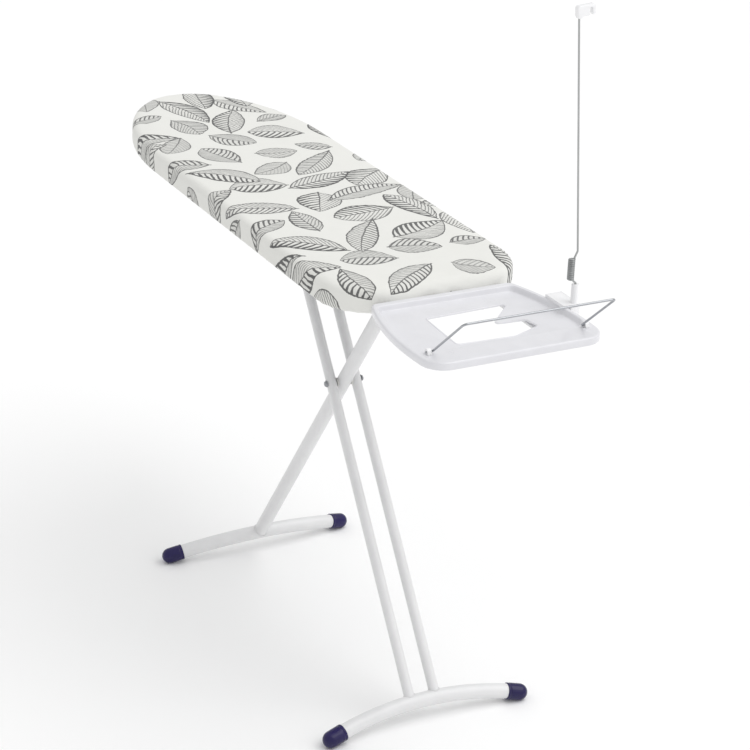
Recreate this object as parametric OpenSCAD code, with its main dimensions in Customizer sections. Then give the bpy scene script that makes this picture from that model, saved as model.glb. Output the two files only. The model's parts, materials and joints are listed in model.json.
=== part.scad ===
// Folding ironing board on a crossed tube stand, with an iron tray, a fold-over
// wire rest and a sprung cord holder. Millimetres, +X towards the iron tray, +Z up.
// The legs are equal and cross at one third of their length, so the upper end of
// the twin leg slides level under the board while the single leg stays hinged.

/* [Board] */
// Length of the covered board, from nose to wide end
board_l = 1200; // [1000:10:1400]
// Width of the covered board
board_w = 380; // [340:5:460]
// Length of the pointed nose, along the board
nose_l = 355; // [280:5:420]
// Corner radius of the wide end
corner_r = 107; // [80:1:125]
// Thickness over the cover
board_t = 45; // [38:1:60]
// Rounding of the covered top edge
edge_r = 15; // [10:1:18]
// Thickness of the cover fabric
cover_t = 2; // [1.5:0.1:3]
// Thickness of the underlay pad
pad_t = 5; // [3:0.5:8]
// Width of the hem that is gathered under the board
hem_w = 34; // [25:1:40]
// Thickness of the moulded core's top plate
core_plate = 3; // [3:0.5:6]
// Thickness of the core's ribs
core_rib = 3; // [2:0.5:5]
// Spacing of the core's cross ribs
core_pitch = 100; // [70:5:140]

/* [Stand] */
// Angle of the legs to the floor as shown
stand_angle = 54; // [50:1:58]
// Leg length, from its upper pivot to the middle of its foot bar
leg_l = 962; // [850:1:1050]
// Distance from a leg's upper pivot to the crossing pivot
cross_l = 338; // [300:1:380]
// Distance from the board's wide end to the hinged leg's upper pivot
hinge_in = 156; // [130:1:200]
// Highest setting of the legs' angle
raised_angle = 60; // [59:1:61]
// Angle of the legs when folded flat
folded_angle = 3; // [3:0.5:6]
// Outside diameter of the single leg tube
single_d = 28; // [25:1:32]
// Outside diameter of each twin leg tube
twin_d = 20; // [18:1:24]
// Gap between the twin tubes' facing sides
twin_gap = 32.6; // [32:0.1:40]
// Wall of the leg tubes
tube_wall = 1.5; // [1.2:0.1:2.5]
// Outside diameter of the foot bars
bar_d = 29; // [29:0.5:32]
// Distance between the centres of a foot bar's two end domes
foot_span = 402; // [360:2:440]
// Height of the foot bar's arch, in the plane of its leg
foot_arch = 30; // [20:1:40]
// Length of a foot cap's sleeve
cap_l = 28; // [20:1:40]
// Wall of a foot cap
cap_wall = 1.8; // [1.6:0.1:2.4]
// Depth of the flat sole cut into a foot cap
sole_cut = 1.2; // [0.8:0.1:1.4]

/* [Pivots and rails] */
// Diameter of the pivot pins and the sliding axle
pin_d = 8; // [6:0.5:10]
// Radial running clearance of every pin
run_gap = 0.05; // [0.02:0.01:0.1]
// Clearance of a sliding shoe in its rail
slide_gap = 0.3; // [0.2:0.05:0.5]
// Sheet thickness of rails and brackets
sheet = 2; // [1.5:0.1:3]
// Height of a sliding shoe
shoe_h = 28; // [26:1:34]
// Length of a sliding shoe
shoe_l = 36; // [30:1:50]
// Thickness of a sliding shoe, across the board
shoe_t = 10; // [8:1:14]
// Distance from the middle to a rail's inner edge
rail_y = 72; // [68:1:80]
// Outside diameter of the hinge sleeve
sleeve_d = 22; // [18:1:24]
// Length of the hinge sleeve
sleeve_l = 76; // [60:1:80]

/* [Iron tray] */
// Length of the tray, along the board
tray_l = 274; // [240:1:300]
// Greatest width of the tray
tray_w = 343; // [300:1:360]
// Depth of the tray's rim
tray_h = 14; // [12:1:20]
// Drop from the board's top to the tray's rim
tray_drop = 20; // [16:1:26]
// Depth of the tray's well
well_depth = 10; // [8:1:11]
// Wall of the tray
tray_wall = 2.5; // [2:0.1:3.5]
// Width of the tray's outer shelf
shelf_w = 46; // [40:1:60]
// Distance of the tray straps from the middle
strap_y = 112; // [106:1:118]

/* [Wire rest and cord holder] */
// Diameter of the rest's wire
bail_d = 4; // [3:0.5:5]
// Length of the rest's arms
bail_l = 125.5; // [100:0.5:135]
// Distance between the middles of the rest's arms
bail_w = 293; // [250:1:300]
// Angle of the rest above level when it leans on its stop
bail_angle = 41.3; // [30:0.1:60]
// Diameter of the cord holder's wire
mast_d = 3.5; // [3:0.1:5]
// Outside diameter of the cord holder's coil spring
spring_d = 13; // [11:0.5:16]
// Height of the coil spring
spring_h = 42; // [35:1:55]
// Height of the mast above the spring
mast_h = 420; // [350:5:480]
// Lean of the mast towards the board's middle
mast_lean = 4.5; // [0:0.5:8]

/* [Hidden] */
$fn = 48;
eps = 0.01;

// Heights, from the soles up
sole_h = bar_d / 2 + cap_wall - sole_cut;
foot_z = sole_h + foot_arch * sin(stand_angle);
pivot_z = foot_z + leg_l * sin(stand_angle);
rail_in_h = shoe_h + 2 * slide_gap;
under_z = pivot_z + rail_in_h / 2 + sheet;
top_z = under_z + board_t;
pin_r = pin_d / 2;

// Positions along the board
end_x = board_l / 2;
nose_x = nose_l - end_x;
hinge_x = end_x - hinge_in;
slide_x = hinge_x - 2 * cross_l * cos(stand_angle);
slide_raised = hinge_x - 2 * cross_l * cos(raised_angle) - slide_x;
slide_folded = hinge_x - 2 * cross_l * cos(folded_angle) - slide_x;
tray_x = end_x + 0.5;
tray_end_x = tray_x + tray_l;
rest_x = tray_end_x - shelf_w;
rest_end_x = rest_x + bail_l * cos(bail_angle) + bail_d / 2;
origin_x = (rest_end_x - end_x) / 2;

// Core and cover levels, down from the top of the cover
edge_steps = [0, 22.5, 45, 67.5, 90];
hem_rise = 4;
core_gap = 0.3;
core_step = 3;
web_t = 12;
boss_r = 6;

// Screws: shank, head and bite into the core
screw_r = 2;
screw_head_r = 3.6;
screw_head_h = 2.2;
screw_bite = 14;
screw_gap = 0.2;

// Rails and bracket
stop_l = 8;
rail_x0 = slide_x + slide_folded - shoe_l / 2 - slide_gap - stop_l;
rail_x1 = slide_x + slide_raised + shoe_l / 2 + slide_gap + stop_l;
rail_web_y = rail_y + shoe_t + slide_gap;
web_y = rail_web_y + sheet + 6.7;
rail_flange_y = web_y + 7;
carrier_y = rail_y - slide_gap;
lever_t = 3;
lever_y = carrier_y - sheet - slide_gap - lever_t;
grip_x = -60;
grip_z = -14;
grip_r = 8;
grip_l = 96;
grip_rod_r = 3;
ear_y = sleeve_l / 2 + 0.5;
ear_r = 12;
bracket_w = 2 * (ear_y + 24);
bracket_l = 60;
bracket_screw_y = ear_y + 14;
bracket_screw_x = 20;

// Legs
plug_t = 2.5;
tube_lead = 8;
twin_y = (twin_gap + twin_d) / 2;
washer_gap = 0.15;
washer_t = (twin_gap - single_d) / 2 - 2 * washer_gap;
nut_r = 6.5;
nut_t = 3;
bush_r = pin_r + 2;
foot_r = (pow(foot_span / 2, 2) + pow(foot_arch, 2)) / (2 * foot_arch);
foot_a = asin(foot_span / 2 / foot_r);

// Tray, straps and rest
rim_z = top_z - tray_drop;
floor_z = rim_z - well_depth;
side_r = 550;
side_x = tray_x + 0.69 * tray_l;
near_r = 16;
far_r = 40;
rim_w = 9;
tray_boss_r = 8;
vent = [[74.5, -70], [191.5, -75], [197.5, 32], [173.5, 92], [141.5, 86], [137.5, 24], [67.5, 94]];
strap_t = 4;
strap_w = 24;
strap_x0 = hinge_x + bracket_l / 2 + 12;
strap_x1 = rest_x - 24;
strap_screws = [strap_x0 + 12, end_x - 58];
strap_bosses = [tray_x + 34, strap_x1 - 12];
rest_y = bail_w / 2;
rest_z = rim_z + 3.5;
clip_t = 7;
clip_r = 6;
bar_bend = 8;
pin_bend = 4;

// Cord holder, on the tray's left rim
mast_x = tray_x + 140;
stub_y = tray_w / 2 + 11.5;
post_r = 6.5;
coil_y = stub_y - 11;
post_z = rim_z + 40;
coil_z = post_z + 6;
mast_y = stub_y - 1;
base_l = 60;
clip_w = 10;

// ---- Shared shapes ----

// Outline of the board drawn in by `inset`: half-ellipse nose and rounded wide end
function board_outline(inset) = concat(
    [for (a = [90:7.5:270]) [nose_x + (nose_l - inset) * cos(a), (board_w / 2 - inset) * sin(a)]],
    [for (s = [-1, 1], a = s < 0 ? [-90:15:0] : [0:15:90])
        [end_x - corner_r + (corner_r - inset) * cos(a),
         s * (board_w / 2 - corner_r) + (corner_r - inset) * sin(a)]]);

// Centre of the tray corner of radius r at x, tangent inside to the curved side
function corner_y(r, x) = tray_w / 2 - side_r + sqrt(pow(side_r - r, 2) - pow(x - side_x, 2));

// Half of a tray-like outline: two corner arcs joined by the curved side
function half_tray(x0, x1, r0, r1, inset) =
    let (c0 = [x0 + r0, corner_y(r0, x0 + r0)], c1 = [x1 - r1, corner_y(r1, x1 - r1)],
         cy = tray_w / 2 - side_r,
         a0 = atan2(c0.y - cy, c0.x - side_x), a1 = atan2(c1.y - cy, c1.x - side_x))
    concat(
        [for (i = [0:8]) let (a = a1 * i / 8) c1 + (r1 - inset) * [cos(a), sin(a)]],
        [for (i = [1:9]) let (a = a1 + (a0 - a1) * i / 10)
            [side_x + (side_r - inset) * cos(a), cy + (side_r - inset) * sin(a)]],
        [for (i = [0:8]) let (a = a0 + (180 - a0) * i / 8) c0 + (r0 - inset) * [cos(a), sin(a)]]);

function tray_outline(x0, x1, r0, r1, inset) =
    let (half = half_tray(x0, x1, r0, r1, inset))
    concat(half, [for (i = [len(half) - 1:-1:0]) [half[i].x, -half[i].y]]);

// Solid through a stack of level rings, each [inset, height] of the board's outline
module board_loft(levels) {
    n = len(board_outline(0));
    m = len(levels);
    points = [for (lv = levels, p = board_outline(lv[0])) [p.x, p.y, top_z + lv[1]]];
    sides = [for (k = [0:m - 2], i = [0:n - 1])
        let (j = (i + 1) % n, a = k * n + i, b = k * n + j)
        each [[a + n, b, a], [a + n, b + n, b]]];
    faces = concat([[for (i = [0:n - 1]) i]], sides, [[for (i = [n - 1:-1:0]) (m - 1) * n + i]]);
    polyhedron(points, faces);
}

module board_prism(inset, low, high)
    translate([0, 0, top_z + low]) linear_extrude(high - low) polygon(board_outline(inset));

module placed() translate([-origin_x, 0, 0]) children();

// Frames of the two legs: local +X runs down the leg from its upper pivot
module twin_frame() translate([slide_x, 0, pivot_z]) rotate([0, stand_angle, 0]) children();
module single_frame() translate([hinge_x, 0, pivot_z]) rotate([0, 180 - stand_angle, 0]) children();

module both_sides() {
    children();
    mirror([0, 1, 0]) children();
}

module along_x(r, l) rotate([0, 90, 0]) cylinder(h = l, r = r);
module across(r, l) rotate([90, 0, 0]) cylinder(h = l, r = r, center = true);

// Round rod from p to q
module rod(p, q, r) {
    d = q - p;
    translate(p) rotate([0, acos(d.z / norm(d)), atan2(d.y, d.x)]) cylinder(h = norm(d), r = r);
}

// Quarter bend of radius `bend` from +X to +Y, for wire of radius r
module elbow(bend, r) rotate_extrude(angle = 90, $fn = 96) translate([bend, 0]) circle(r, $fn = 48);

// Wire with slight bends: its straight lengths run a little past each bend, which closes it
module wire(path, r) {
    last = len(path) - 2;
    for (i = [0:last]) {
        u = r * (path[i + 1] - path[i]) / norm(path[i + 1] - path[i]);
        rod(path[i] - (i > 0 ? u : 0 * u), path[i + 1] + (i < last ? u : 0 * u), r);
    }
}

// Pan-head screw whose head sits at z = 0 and shank points up
module pan_screw(grip) {
    translate([0, 0, -screw_head_h]) cylinder(h = screw_head_h, r = screw_head_r);
    cylinder(h = grip, r = screw_r);
}

module screws_at(places, z, grip) for (p = places) translate([p.x, p.y, z]) pan_screw(grip);
module holes_at(places, z, h) for (p = places) translate([p.x, p.y, z]) cylinder(h = h, r = screw_r + screw_gap);

rail_screw_places = [for (s = [-1, 1], t = [0.06, 0.35, 0.65, 0.94])
    [rail_x0 + t * (rail_x1 - rail_x0), s * web_y]];
bracket_screw_places = [for (s = [-1, 1], t = [-1, 1])
    [hinge_x + t * bracket_screw_x, s * bracket_screw_y]];
strap_screw_places = [for (s = [-1, 1], x = strap_screws) [x, s * strap_y]];
tray_screw_places = [for (s = [-1, 1], x = strap_bosses) [x, s * strap_y]];

// ---- Board ----

// Pockets between the ribs of the moulded core, open below
module core_pockets() {
    depth = board_t - cover_t - pad_t - core_plate;
    ribs_y = [-strap_y - 40, -strap_y, -45, 0, 45, strap_y, strap_y + 40];
    difference() {
        board_prism(8, -board_t - 1, -board_t + depth);
        for (x = [-end_x + core_pitch / 2:core_pitch:end_x])
            translate([x - core_rib / 2, -board_w, under_z - 2]) cube([core_rib, 2 * board_w, board_t]);
        for (y = ribs_y)
            translate([-board_l, y - core_rib / 2, under_z - 2]) cube([2 * board_l, core_rib, board_t]);
        both_sides() translate([-board_l, web_y - web_t / 2, under_z - 2])
            cube([2 * board_l, web_t, board_t]);
        for (p = concat(bracket_screw_places, strap_screw_places))
            translate([p.x - boss_r, p.y - boss_r, under_z - 2]) cube([2 * boss_r, 2 * boss_r, board_t]);
    }
}

module board_core() color([0.62, 0.63, 0.64]) placed() difference() {
    union() {
        board_prism(hem_w + 0.5, -board_t, -board_t + cover_t);
        board_prism(hem_rise + 1, -board_t + cover_t, -board_t + cover_t + hem_rise);
        board_prism(cover_t + core_gap, -board_t + cover_t + hem_rise, -edge_r);
        board_prism(cover_t + core_gap + core_step, -edge_r, -cover_t - pad_t);
    }
    core_pockets();
}

module underlay_pad() color([0.93, 0.92, 0.88]) placed() board_loft([
    [cover_t + core_gap + core_step, -cover_t - pad_t],
    [cover_t + core_gap + 2 * core_step, -cover_t - pad_t / 2],
    [edge_r + core_gap, -cover_t]]);

module cover() color([0.94, 0.94, 0.92]) placed() difference() {
    board_loft(concat(
        [[hem_rise, -board_t], [hem_rise / 4, -board_t + hem_rise / 3], [0, -board_t + hem_rise]],
        [for (a = edge_steps) [edge_r * (1 - cos(a)), edge_r * (sin(a) - 1)]]));
    board_loft(concat(
        [[hem_rise, -board_t + cover_t], [cover_t, -board_t + cover_t + hem_rise]],
        [for (a = edge_steps) let (r = edge_r - cover_t) [cover_t + r * (1 - cos(a)), r * sin(a) - edge_r]]));
    board_prism(hem_w, -board_t - 1, -board_t + cover_t + 1);
}

// ---- Rails, hinge bracket and tray straps under the board ----

// C channel open towards the middle, with a screw flange on its outer side
module rail(side) color([0.86, 0.86, 0.87]) placed() on_side(side) {
    low = under_z - 2 * sheet - rail_in_h;
    section = [[rail_y, under_z], [rail_flange_y, under_z], [rail_flange_y, under_z - sheet],
        [rail_web_y + sheet, under_z - sheet], [rail_web_y + sheet, low], [rail_y, low],
        [rail_y, low + sheet], [rail_web_y, low + sheet], [rail_web_y, under_z - sheet],
        [rail_y, under_z - sheet]];
    difference() {
        translate([rail_x0, 0, 0]) rotate([90, 0, 90]) linear_extrude(rail_x1 - rail_x0) polygon(section);
        holes_at([for (p = rail_screw_places) [p.x, abs(p.y)]], under_z - sheet - 1, sheet + 2);
    }
}

module on_side(side) {
    if (side > 0) children();
    else mirror([0, 1, 0]) children();
}

module rail_left() rail(1);
module rail_right() rail(-1);

module rail_stops() color([0.25, 0.25, 0.27]) placed() both_sides()
    for (x = [rail_x0, rail_x1 - stop_l]) translate([x, rail_y, pivot_z + 1])
        cube([stop_l, rail_web_y - rail_y, rail_in_h / 2 - 1]);

module rail_screws() color([0.75, 0.76, 0.78]) placed()
    screws_at(rail_screw_places, under_z - sheet, sheet + screw_bite);

module leg_hinge_bracket() color([0.86, 0.86, 0.87]) placed() difference() {
    union() {
        translate([hinge_x - bracket_l / 2, -bracket_w / 2, under_z - sheet])
            cube([bracket_l, bracket_w, sheet]);
        both_sides() translate([hinge_x, ear_y, pivot_z]) {
            rotate([-90, 0, 0]) cylinder(h = sheet, r = ear_r);
            translate([-ear_r, 0, 0]) cube([2 * ear_r, sheet, under_z - pivot_z - eps]);
        }
    }
    translate([hinge_x - bracket_l, -single_d / 2 - 4, under_z - board_t])
        cube([bracket_l + 10, single_d + 8, 2 * board_t]);
    translate([hinge_x, 0, pivot_z]) across(pin_r, board_w);
    holes_at(bracket_screw_places, under_z - sheet - 1, sheet + 2);
}

module hinge_bracket_screws() color([0.75, 0.76, 0.78]) placed()
    screws_at(bracket_screw_places, under_z - sheet, sheet + screw_bite);

module leg_hinge_pin() color([0.7, 0.71, 0.73]) placed() translate([hinge_x, 0, pivot_z]) {
    across(pin_r, 2 * (ear_y + sheet) + 4);
    both_sides() translate([0, ear_y + sheet, 0]) rotate([-90, 0, 0]) cylinder(h = 2.5, r = pin_r + 2.5);
}

// Flat steel strap from under the board to the tray's outer bosses
module tray_strap(side) color([0.86, 0.86, 0.87]) placed() on_side(side) difference() {
    translate([strap_x0, strap_y - strap_w / 2, under_z - strap_t])
        cube([strap_x1 - strap_x0, strap_w, strap_t]);
    holes_at([for (x = concat(strap_screws, strap_bosses)) [x, strap_y]],
        under_z - strap_t - 1, strap_t + 2);
}

module tray_strap_left() tray_strap(1);
module tray_strap_right() tray_strap(-1);

module tray_strap_screws() color([0.75, 0.76, 0.78]) placed()
    screws_at(strap_screw_places, under_z - strap_t, strap_t + screw_bite);

// ---- Iron tray ----

module tray_prism(x0, x1, r0, r1, inset, low, high)
    translate([0, 0, low]) linear_extrude(high - low) polygon(tray_outline(x0, x1, r0, r1, inset));

// The well narrows the tray's outline on all sides, most on the outer shelf
module well_prism(grow, low, high)
    tray_prism(tray_x + 6, rest_x + 4, near_r, far_r, rim_w - grow, low, high);

module iron_tray() color([0.91, 0.91, 0.92]) placed() {
    low = rim_z - tray_h;
    difference() {
        union() {
            difference() {
                tray_prism(tray_x, tray_end_x, near_r, far_r, 0, low, rim_z);
                tray_prism(tray_x, tray_end_x, near_r, far_r, tray_wall, low - 1, rim_z - tray_wall);
            }
            well_prism(tray_wall, floor_z - tray_wall, rim_z - eps);
            for (p = tray_screw_places) translate([p.x, p.y, under_z])
                cylinder(h = floor_z - under_z - eps, r = tray_boss_r);
        }
        well_prism(0, floor_z, rim_z + 1);
        translate([tray_x, 0, floor_z - 10]) linear_extrude(20) polygon(vent);
        for (p = tray_screw_places) translate([p.x, p.y, under_z - 1]) cylinder(h = 10, r = screw_r);
    }
}

module tray_screws() color([0.75, 0.76, 0.78]) placed()
    screws_at(tray_screw_places, under_z - strap_t, strap_t + 8);

// Saddle on the rim that holds one end of the wire rest
module rest_clip(side) color([0.93, 0.93, 0.94]) placed() on_side(side) {
    y = rest_y + 1;
    difference() {
        union() {
            translate([rest_x - clip_r, y, rim_z]) cube([2 * clip_r + 2, clip_t, rest_z - rim_z]);
            translate([rest_x, y, rest_z]) rotate([-90, 0, 0]) cylinder(h = clip_t, r = clip_r);
        }
        translate([rest_x, y - 1, rest_z]) rotate([-90, 0, 0])
            cylinder(h = clip_t + 2, r = bail_d / 2 + run_gap);
        translate([rest_x - 10, y - 1, rim_z - 10]) cube([24, clip_t + 2, 10]);
    }
}

module rest_clip_left() rest_clip(1);
module rest_clip_right() rest_clip(-1);

// Clip-on base along the rim, with the post that takes the mast
module cord_holder_socket() color([0.93, 0.93, 0.94]) placed() difference() {
    union() {
        translate([mast_x - base_l + 8, tray_w / 2 - 14, rim_z]) cube([base_l, stub_y + 21 - tray_w / 2, 6]);
        translate([mast_x - base_l + 8, tray_w / 2 + 1.5, rim_z - tray_h])
            cube([base_l, stub_y + 5.5 - tray_w / 2, tray_h + 6]);
        translate([mast_x, stub_y, rim_z]) cylinder(h = post_z - rim_z, r = post_r);
    }
    translate([mast_x, stub_y, rim_z + 4]) cylinder(h = 50, r = mast_d / 2 + run_gap);
}

// ---- Legs ----

// Arc of the foot bar's centre line, as a round bar of radius r over angle a0 to a1
module foot_arc(r, a0, a1)
    translate([leg_l + foot_r, 0, 0]) rotate([0, 0, 180 + a0])
        rotate_extrude(angle = a1 - a0, $fn = 360) translate([foot_r, 0]) circle(r, $fn = 48);

module foot_bar_solid(r) foot_arc(r, -foot_a, foot_a);

module foot_bar() difference() {
    foot_bar_solid(bar_d / 2);
    foot_arc(bar_d / 2 - tube_wall, -foot_a - 1, foot_a + 1);
}

// Domed cap turned about the line in which the foot bar ends
module foot_cap() {
    r = bar_d / 2 + cap_wall;
    difference() {
        translate([leg_l + foot_arch, -foot_span / 2, 0]) rotate([0, 0, foot_a]) rotate([90, 0, 0])
            rotate_extrude() {
                intersection() {
                    circle(r);
                    square(r);
                }
                translate([0, -cap_l]) square([r, cap_l]);
            }
        foot_arc(bar_d / 2, 0, foot_a);
    }
}

// Cuts what stands on the floor flat at its sole
module floor_cut() difference() {
    children();
    translate([-2 * board_l, -board_w, -100]) cube([4 * board_l, 2 * board_w, 100]);
}

module single_leg_tube() color([0.9, 0.9, 0.9]) placed() single_frame() difference() {
    along_x(single_d / 2, leg_l);
    translate([-1, 0, 0]) along_x(single_d / 2 - tube_wall, leg_l + 2);
    across(sleeve_d / 2, sleeve_l);
    translate([cross_l, 0, 0]) across(bush_r, 2 * single_d);
    foot_bar_solid(bar_d / 2);
}

module leg_hinge_sleeve() color([0.88, 0.88, 0.89]) placed() single_frame() difference() {
    across(sleeve_d / 2, sleeve_l);
    across(pin_r + run_gap, 2 * sleeve_l);
}

module pivot_bush() color([0.2, 0.2, 0.22]) placed() single_frame() translate([cross_l, 0, 0])
    difference() {
        across(bush_r, single_d);
        across(pin_r + run_gap, 2 * single_d);
    }

module rear_foot_bar() color([0.9, 0.9, 0.9]) placed() single_frame() foot_bar();
module rear_foot_cap_left() color([0.2, 0.18, 0.33]) placed() floor_cut() single_frame()
    mirror([0, 1, 0]) foot_cap();
module rear_foot_cap_right() color([0.2, 0.18, 0.33]) placed() floor_cut() single_frame() foot_cap();

module twin_tube(side) color([0.9, 0.9, 0.9]) placed() twin_frame() difference() {
    translate([-tube_lead, side * twin_y, 0]) along_x(twin_d / 2, leg_l + tube_lead);
    translate([-tube_lead - 1, side * twin_y, 0]) along_x(twin_d / 2 - tube_wall, leg_l + tube_lead + 2);
    across(pin_r, board_w);
    translate([cross_l, 0, 0]) across(pin_r, board_w);
    foot_bar_solid(bar_d / 2);
}

module twin_tube_left() twin_tube(1);
module twin_tube_right() twin_tube(-1);

module twin_tube_plugs() color([0.2, 0.2, 0.22]) placed() twin_frame() both_sides()
    translate([-tube_lead - plug_t, twin_y, 0]) {
        along_x(twin_d / 2, plug_t);
        along_x(twin_d / 2 - tube_wall, plug_t + 3);
    }

module slide_axle() color([0.7, 0.71, 0.73]) placed() translate([slide_x, 0, pivot_z])
    across(pin_r, 2 * (rail_y + shoe_t - 1.5));

module leg_pivot_pin() color([0.7, 0.71, 0.73]) placed() twin_frame() translate([cross_l, 0, 0])
    across(pin_r, 2 * (twin_y + twin_d / 2 + nut_t));

module pivot_washers() color([0.85, 0.85, 0.84]) placed() twin_frame() translate([cross_l, 0, 0])
    both_sides() translate([0, twin_gap / 2 - washer_t, 0]) rotate([-90, 0, 0]) difference() {
        cylinder(h = washer_t, r = pin_r + 5);
        translate([0, 0, -1]) cylinder(h = washer_t + 2, r = pin_r);
    }

module pivot_cap_nuts() color([0.3, 0.3, 0.33]) placed() twin_frame() translate([cross_l, 0, 0])
    both_sides() translate([0, twin_y + twin_d / 2, 0]) rotate([-90, 0, 0]) difference() {
        union() {
            cylinder(h = nut_t, r = nut_r);
            cylinder(h = nut_t + 2, r = nut_r - 1.5);
        }
        translate([0, 0, -1]) cylinder(h = 4, r = pin_r);
    }

module front_foot_bar() color([0.9, 0.9, 0.9]) placed() twin_frame() foot_bar();
module front_foot_cap_left() color([0.2, 0.18, 0.33]) placed() floor_cut() twin_frame()
    mirror([0, 1, 0]) foot_cap();
module front_foot_cap_right() color([0.2, 0.18, 0.33]) placed() floor_cut() twin_frame() foot_cap();

// ---- Sliding carriage and release lever, about the slide axle ----

module carriage_frame() placed() translate([slide_x, 0, pivot_z]) children();

module slide_carrier() color([0.55, 0.56, 0.58]) carriage_frame() {
    translate([-38, -carrier_y, 9]) cube([22, 2 * carrier_y, 3]);
    difference() {
        both_sides() translate([0, carrier_y, 0]) rotate([90, 0, 0]) linear_extrude(sheet)
            polygon([[-16 - eps, 12], [9, 12], [9, -9], [-15, -9], [-16 - eps, 9]]);
        across(pin_r + run_gap, board_w);
    }
}

module slide_shoe(side) color([0.15, 0.15, 0.17]) carriage_frame() on_side(side) difference() {
    translate([-shoe_l / 2, carrier_y, -shoe_h / 2]) cube([shoe_l, shoe_t + slide_gap, shoe_h]);
    across(pin_r + run_gap, board_w);
}

module slide_shoe_left() slide_shoe(1);
module slide_shoe_right() slide_shoe(-1);

module lever_springs() color([0.6, 0.61, 0.62]) carriage_frame() both_sides()
    translate([0, lever_y - 8, 0]) rotate([-90, 0, 0]) difference() {
        cylinder(h = 7.5, r = pin_r + 3);
        translate([0, 0, -1]) cylinder(h = 10, r = pin_r + 0.6);
    }

// Two arms with brake noses that press on the rails, joined by the grip's rod
module release_lever() color([0.35, 0.36, 0.38]) carriage_frame() {
    both_sides() difference() {
        union() {
            translate([0, lever_y, 0]) rotate([-90, 0, 0]) cylinder(h = lever_t, r = 8.5);
            translate([0, lever_y + lever_t, 0]) rotate([90, 0, 0]) linear_extrude(lever_t)
                polygon([[0, 5], [grip_x, grip_z + 5], [grip_x, grip_z - 5], [-6, -5]]);
            translate([grip_x, lever_y, grip_z]) rotate([-90, 0, 0]) cylinder(h = lever_t, r = 5);
            translate([-27, lever_y + eps, -shoe_h / 2 + 0.1]) cube([7, rail_web_y - lever_y - 3, 7]);
        }
        across(pin_r + run_gap, board_w);
    }
    translate([grip_x, 0, grip_z]) across(grip_rod_r, 2 * lever_y + eps);
}

module lever_grip() color([0.2, 0.18, 0.33]) carriage_frame() translate([grip_x, 0, grip_z])
    difference() {
        across(grip_r, grip_l);
        across(grip_rod_r, grip_l + 2);
    }

// ---- Wire rest and cord holder ----

// One bent wire, flat in its own plane: a bar, two arms and two pivot ends
module iron_rest_wire() color([0.8, 0.8, 0.82]) placed()
    translate([rest_x, 0, rest_z]) rotate([0, -bail_angle, 0]) {
        r = bail_d / 2;
        arm_y = rest_y - bail_d;
        translate([bail_l, 0, 0]) across(r, 2 * (arm_y - bar_bend));
        both_sides() {
            translate([bail_l - bar_bend, arm_y - bar_bend, 0]) elbow(bar_bend, r);
            translate([pin_bend, arm_y, 0]) along_x(r, bail_l - pin_bend - bar_bend);
            translate([pin_bend, arm_y + pin_bend, 0]) rotate([0, 0, 180]) elbow(pin_bend, r);
            translate([0, arm_y + pin_bend, 0]) rotate([-90, 0, 0])
                cylinder(h = rest_y + clip_t + 2 - arm_y - pin_bend, r = r);
        }
    }

// Stub in the socket, cranked over to the coil's bottom turn
module mast_stub() color([0.6, 0.61, 0.62]) placed()
    wire([[mast_x, stub_y, rim_z + 6], [mast_x, stub_y, post_z + 2],
        [mast_x, coil_y + spring_d / 2 - mast_d / 2, coil_z]], mast_d / 2);

module mast_spring() color([0.55, 0.57, 0.56]) placed()
    translate([mast_x, coil_y, coil_z + mast_d / 2]) difference() {
        cylinder(h = spring_h, r = spring_d / 2);
        translate([0, 0, -1]) cylinder(h = spring_h + 2, r = spring_d / 2 - mast_d);
    }

spring_top = coil_z + mast_d / 2 + spring_h;
mast_foot = [mast_x, mast_y, spring_top + 12];
mast_tip = mast_foot + mast_h * [0, -sin(mast_lean), cos(mast_lean)];

module mast_wire() color([0.85, 0.85, 0.85]) placed()
    wire([[mast_x, coil_y + spring_d / 2 - mast_d / 2, spring_top + mast_d / 2], mast_foot, mast_tip],
        mast_d / 2);

// Cord clip: a block on the mast's tip with an open slot for the cord
module cord_clip() color([0.89, 0.89, 0.88]) placed() translate(mast_tip) rotate([mast_lean, 0, 0])
    difference() {
        translate([-clip_w / 2, -clip_w / 2, -8]) cube([clip_w, 34, 18]);
        translate([0, 0, -10]) cylinder(h = 12, r = mast_d / 2);
        translate([-clip_w, 18, -9]) cube([2 * clip_w, 6, 14]);
    }

board_core();
underlay_pad();
cover();
rail_left();
rail_right();
rail_stops();
rail_screws();
leg_hinge_bracket();
hinge_bracket_screws();
leg_hinge_pin();
tray_strap_left();
tray_strap_right();
tray_strap_screws();
iron_tray();
tray_screws();
rest_clip_left();
rest_clip_right();
cord_holder_socket();
single_leg_tube();
leg_hinge_sleeve();
pivot_bush();
rear_foot_bar();
rear_foot_cap_left();
rear_foot_cap_right();
twin_tube_left();
twin_tube_right();
twin_tube_plugs();
slide_axle();
leg_pivot_pin();
pivot_washers();
pivot_cap_nuts();
front_foot_bar();
front_foot_cap_left();
front_foot_cap_right();
slide_carrier();
slide_shoe_left();
slide_shoe_right();
lever_springs();
release_lever();
lever_grip();
iron_rest_wire();
mast_stub();
mast_spring();
mast_wire();
cord_clip();
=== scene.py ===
"""Looks of a folding ironing board: padded printed cover, tube stand, iron tray, wires and cord holder."""
import json
import math
import random

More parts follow.
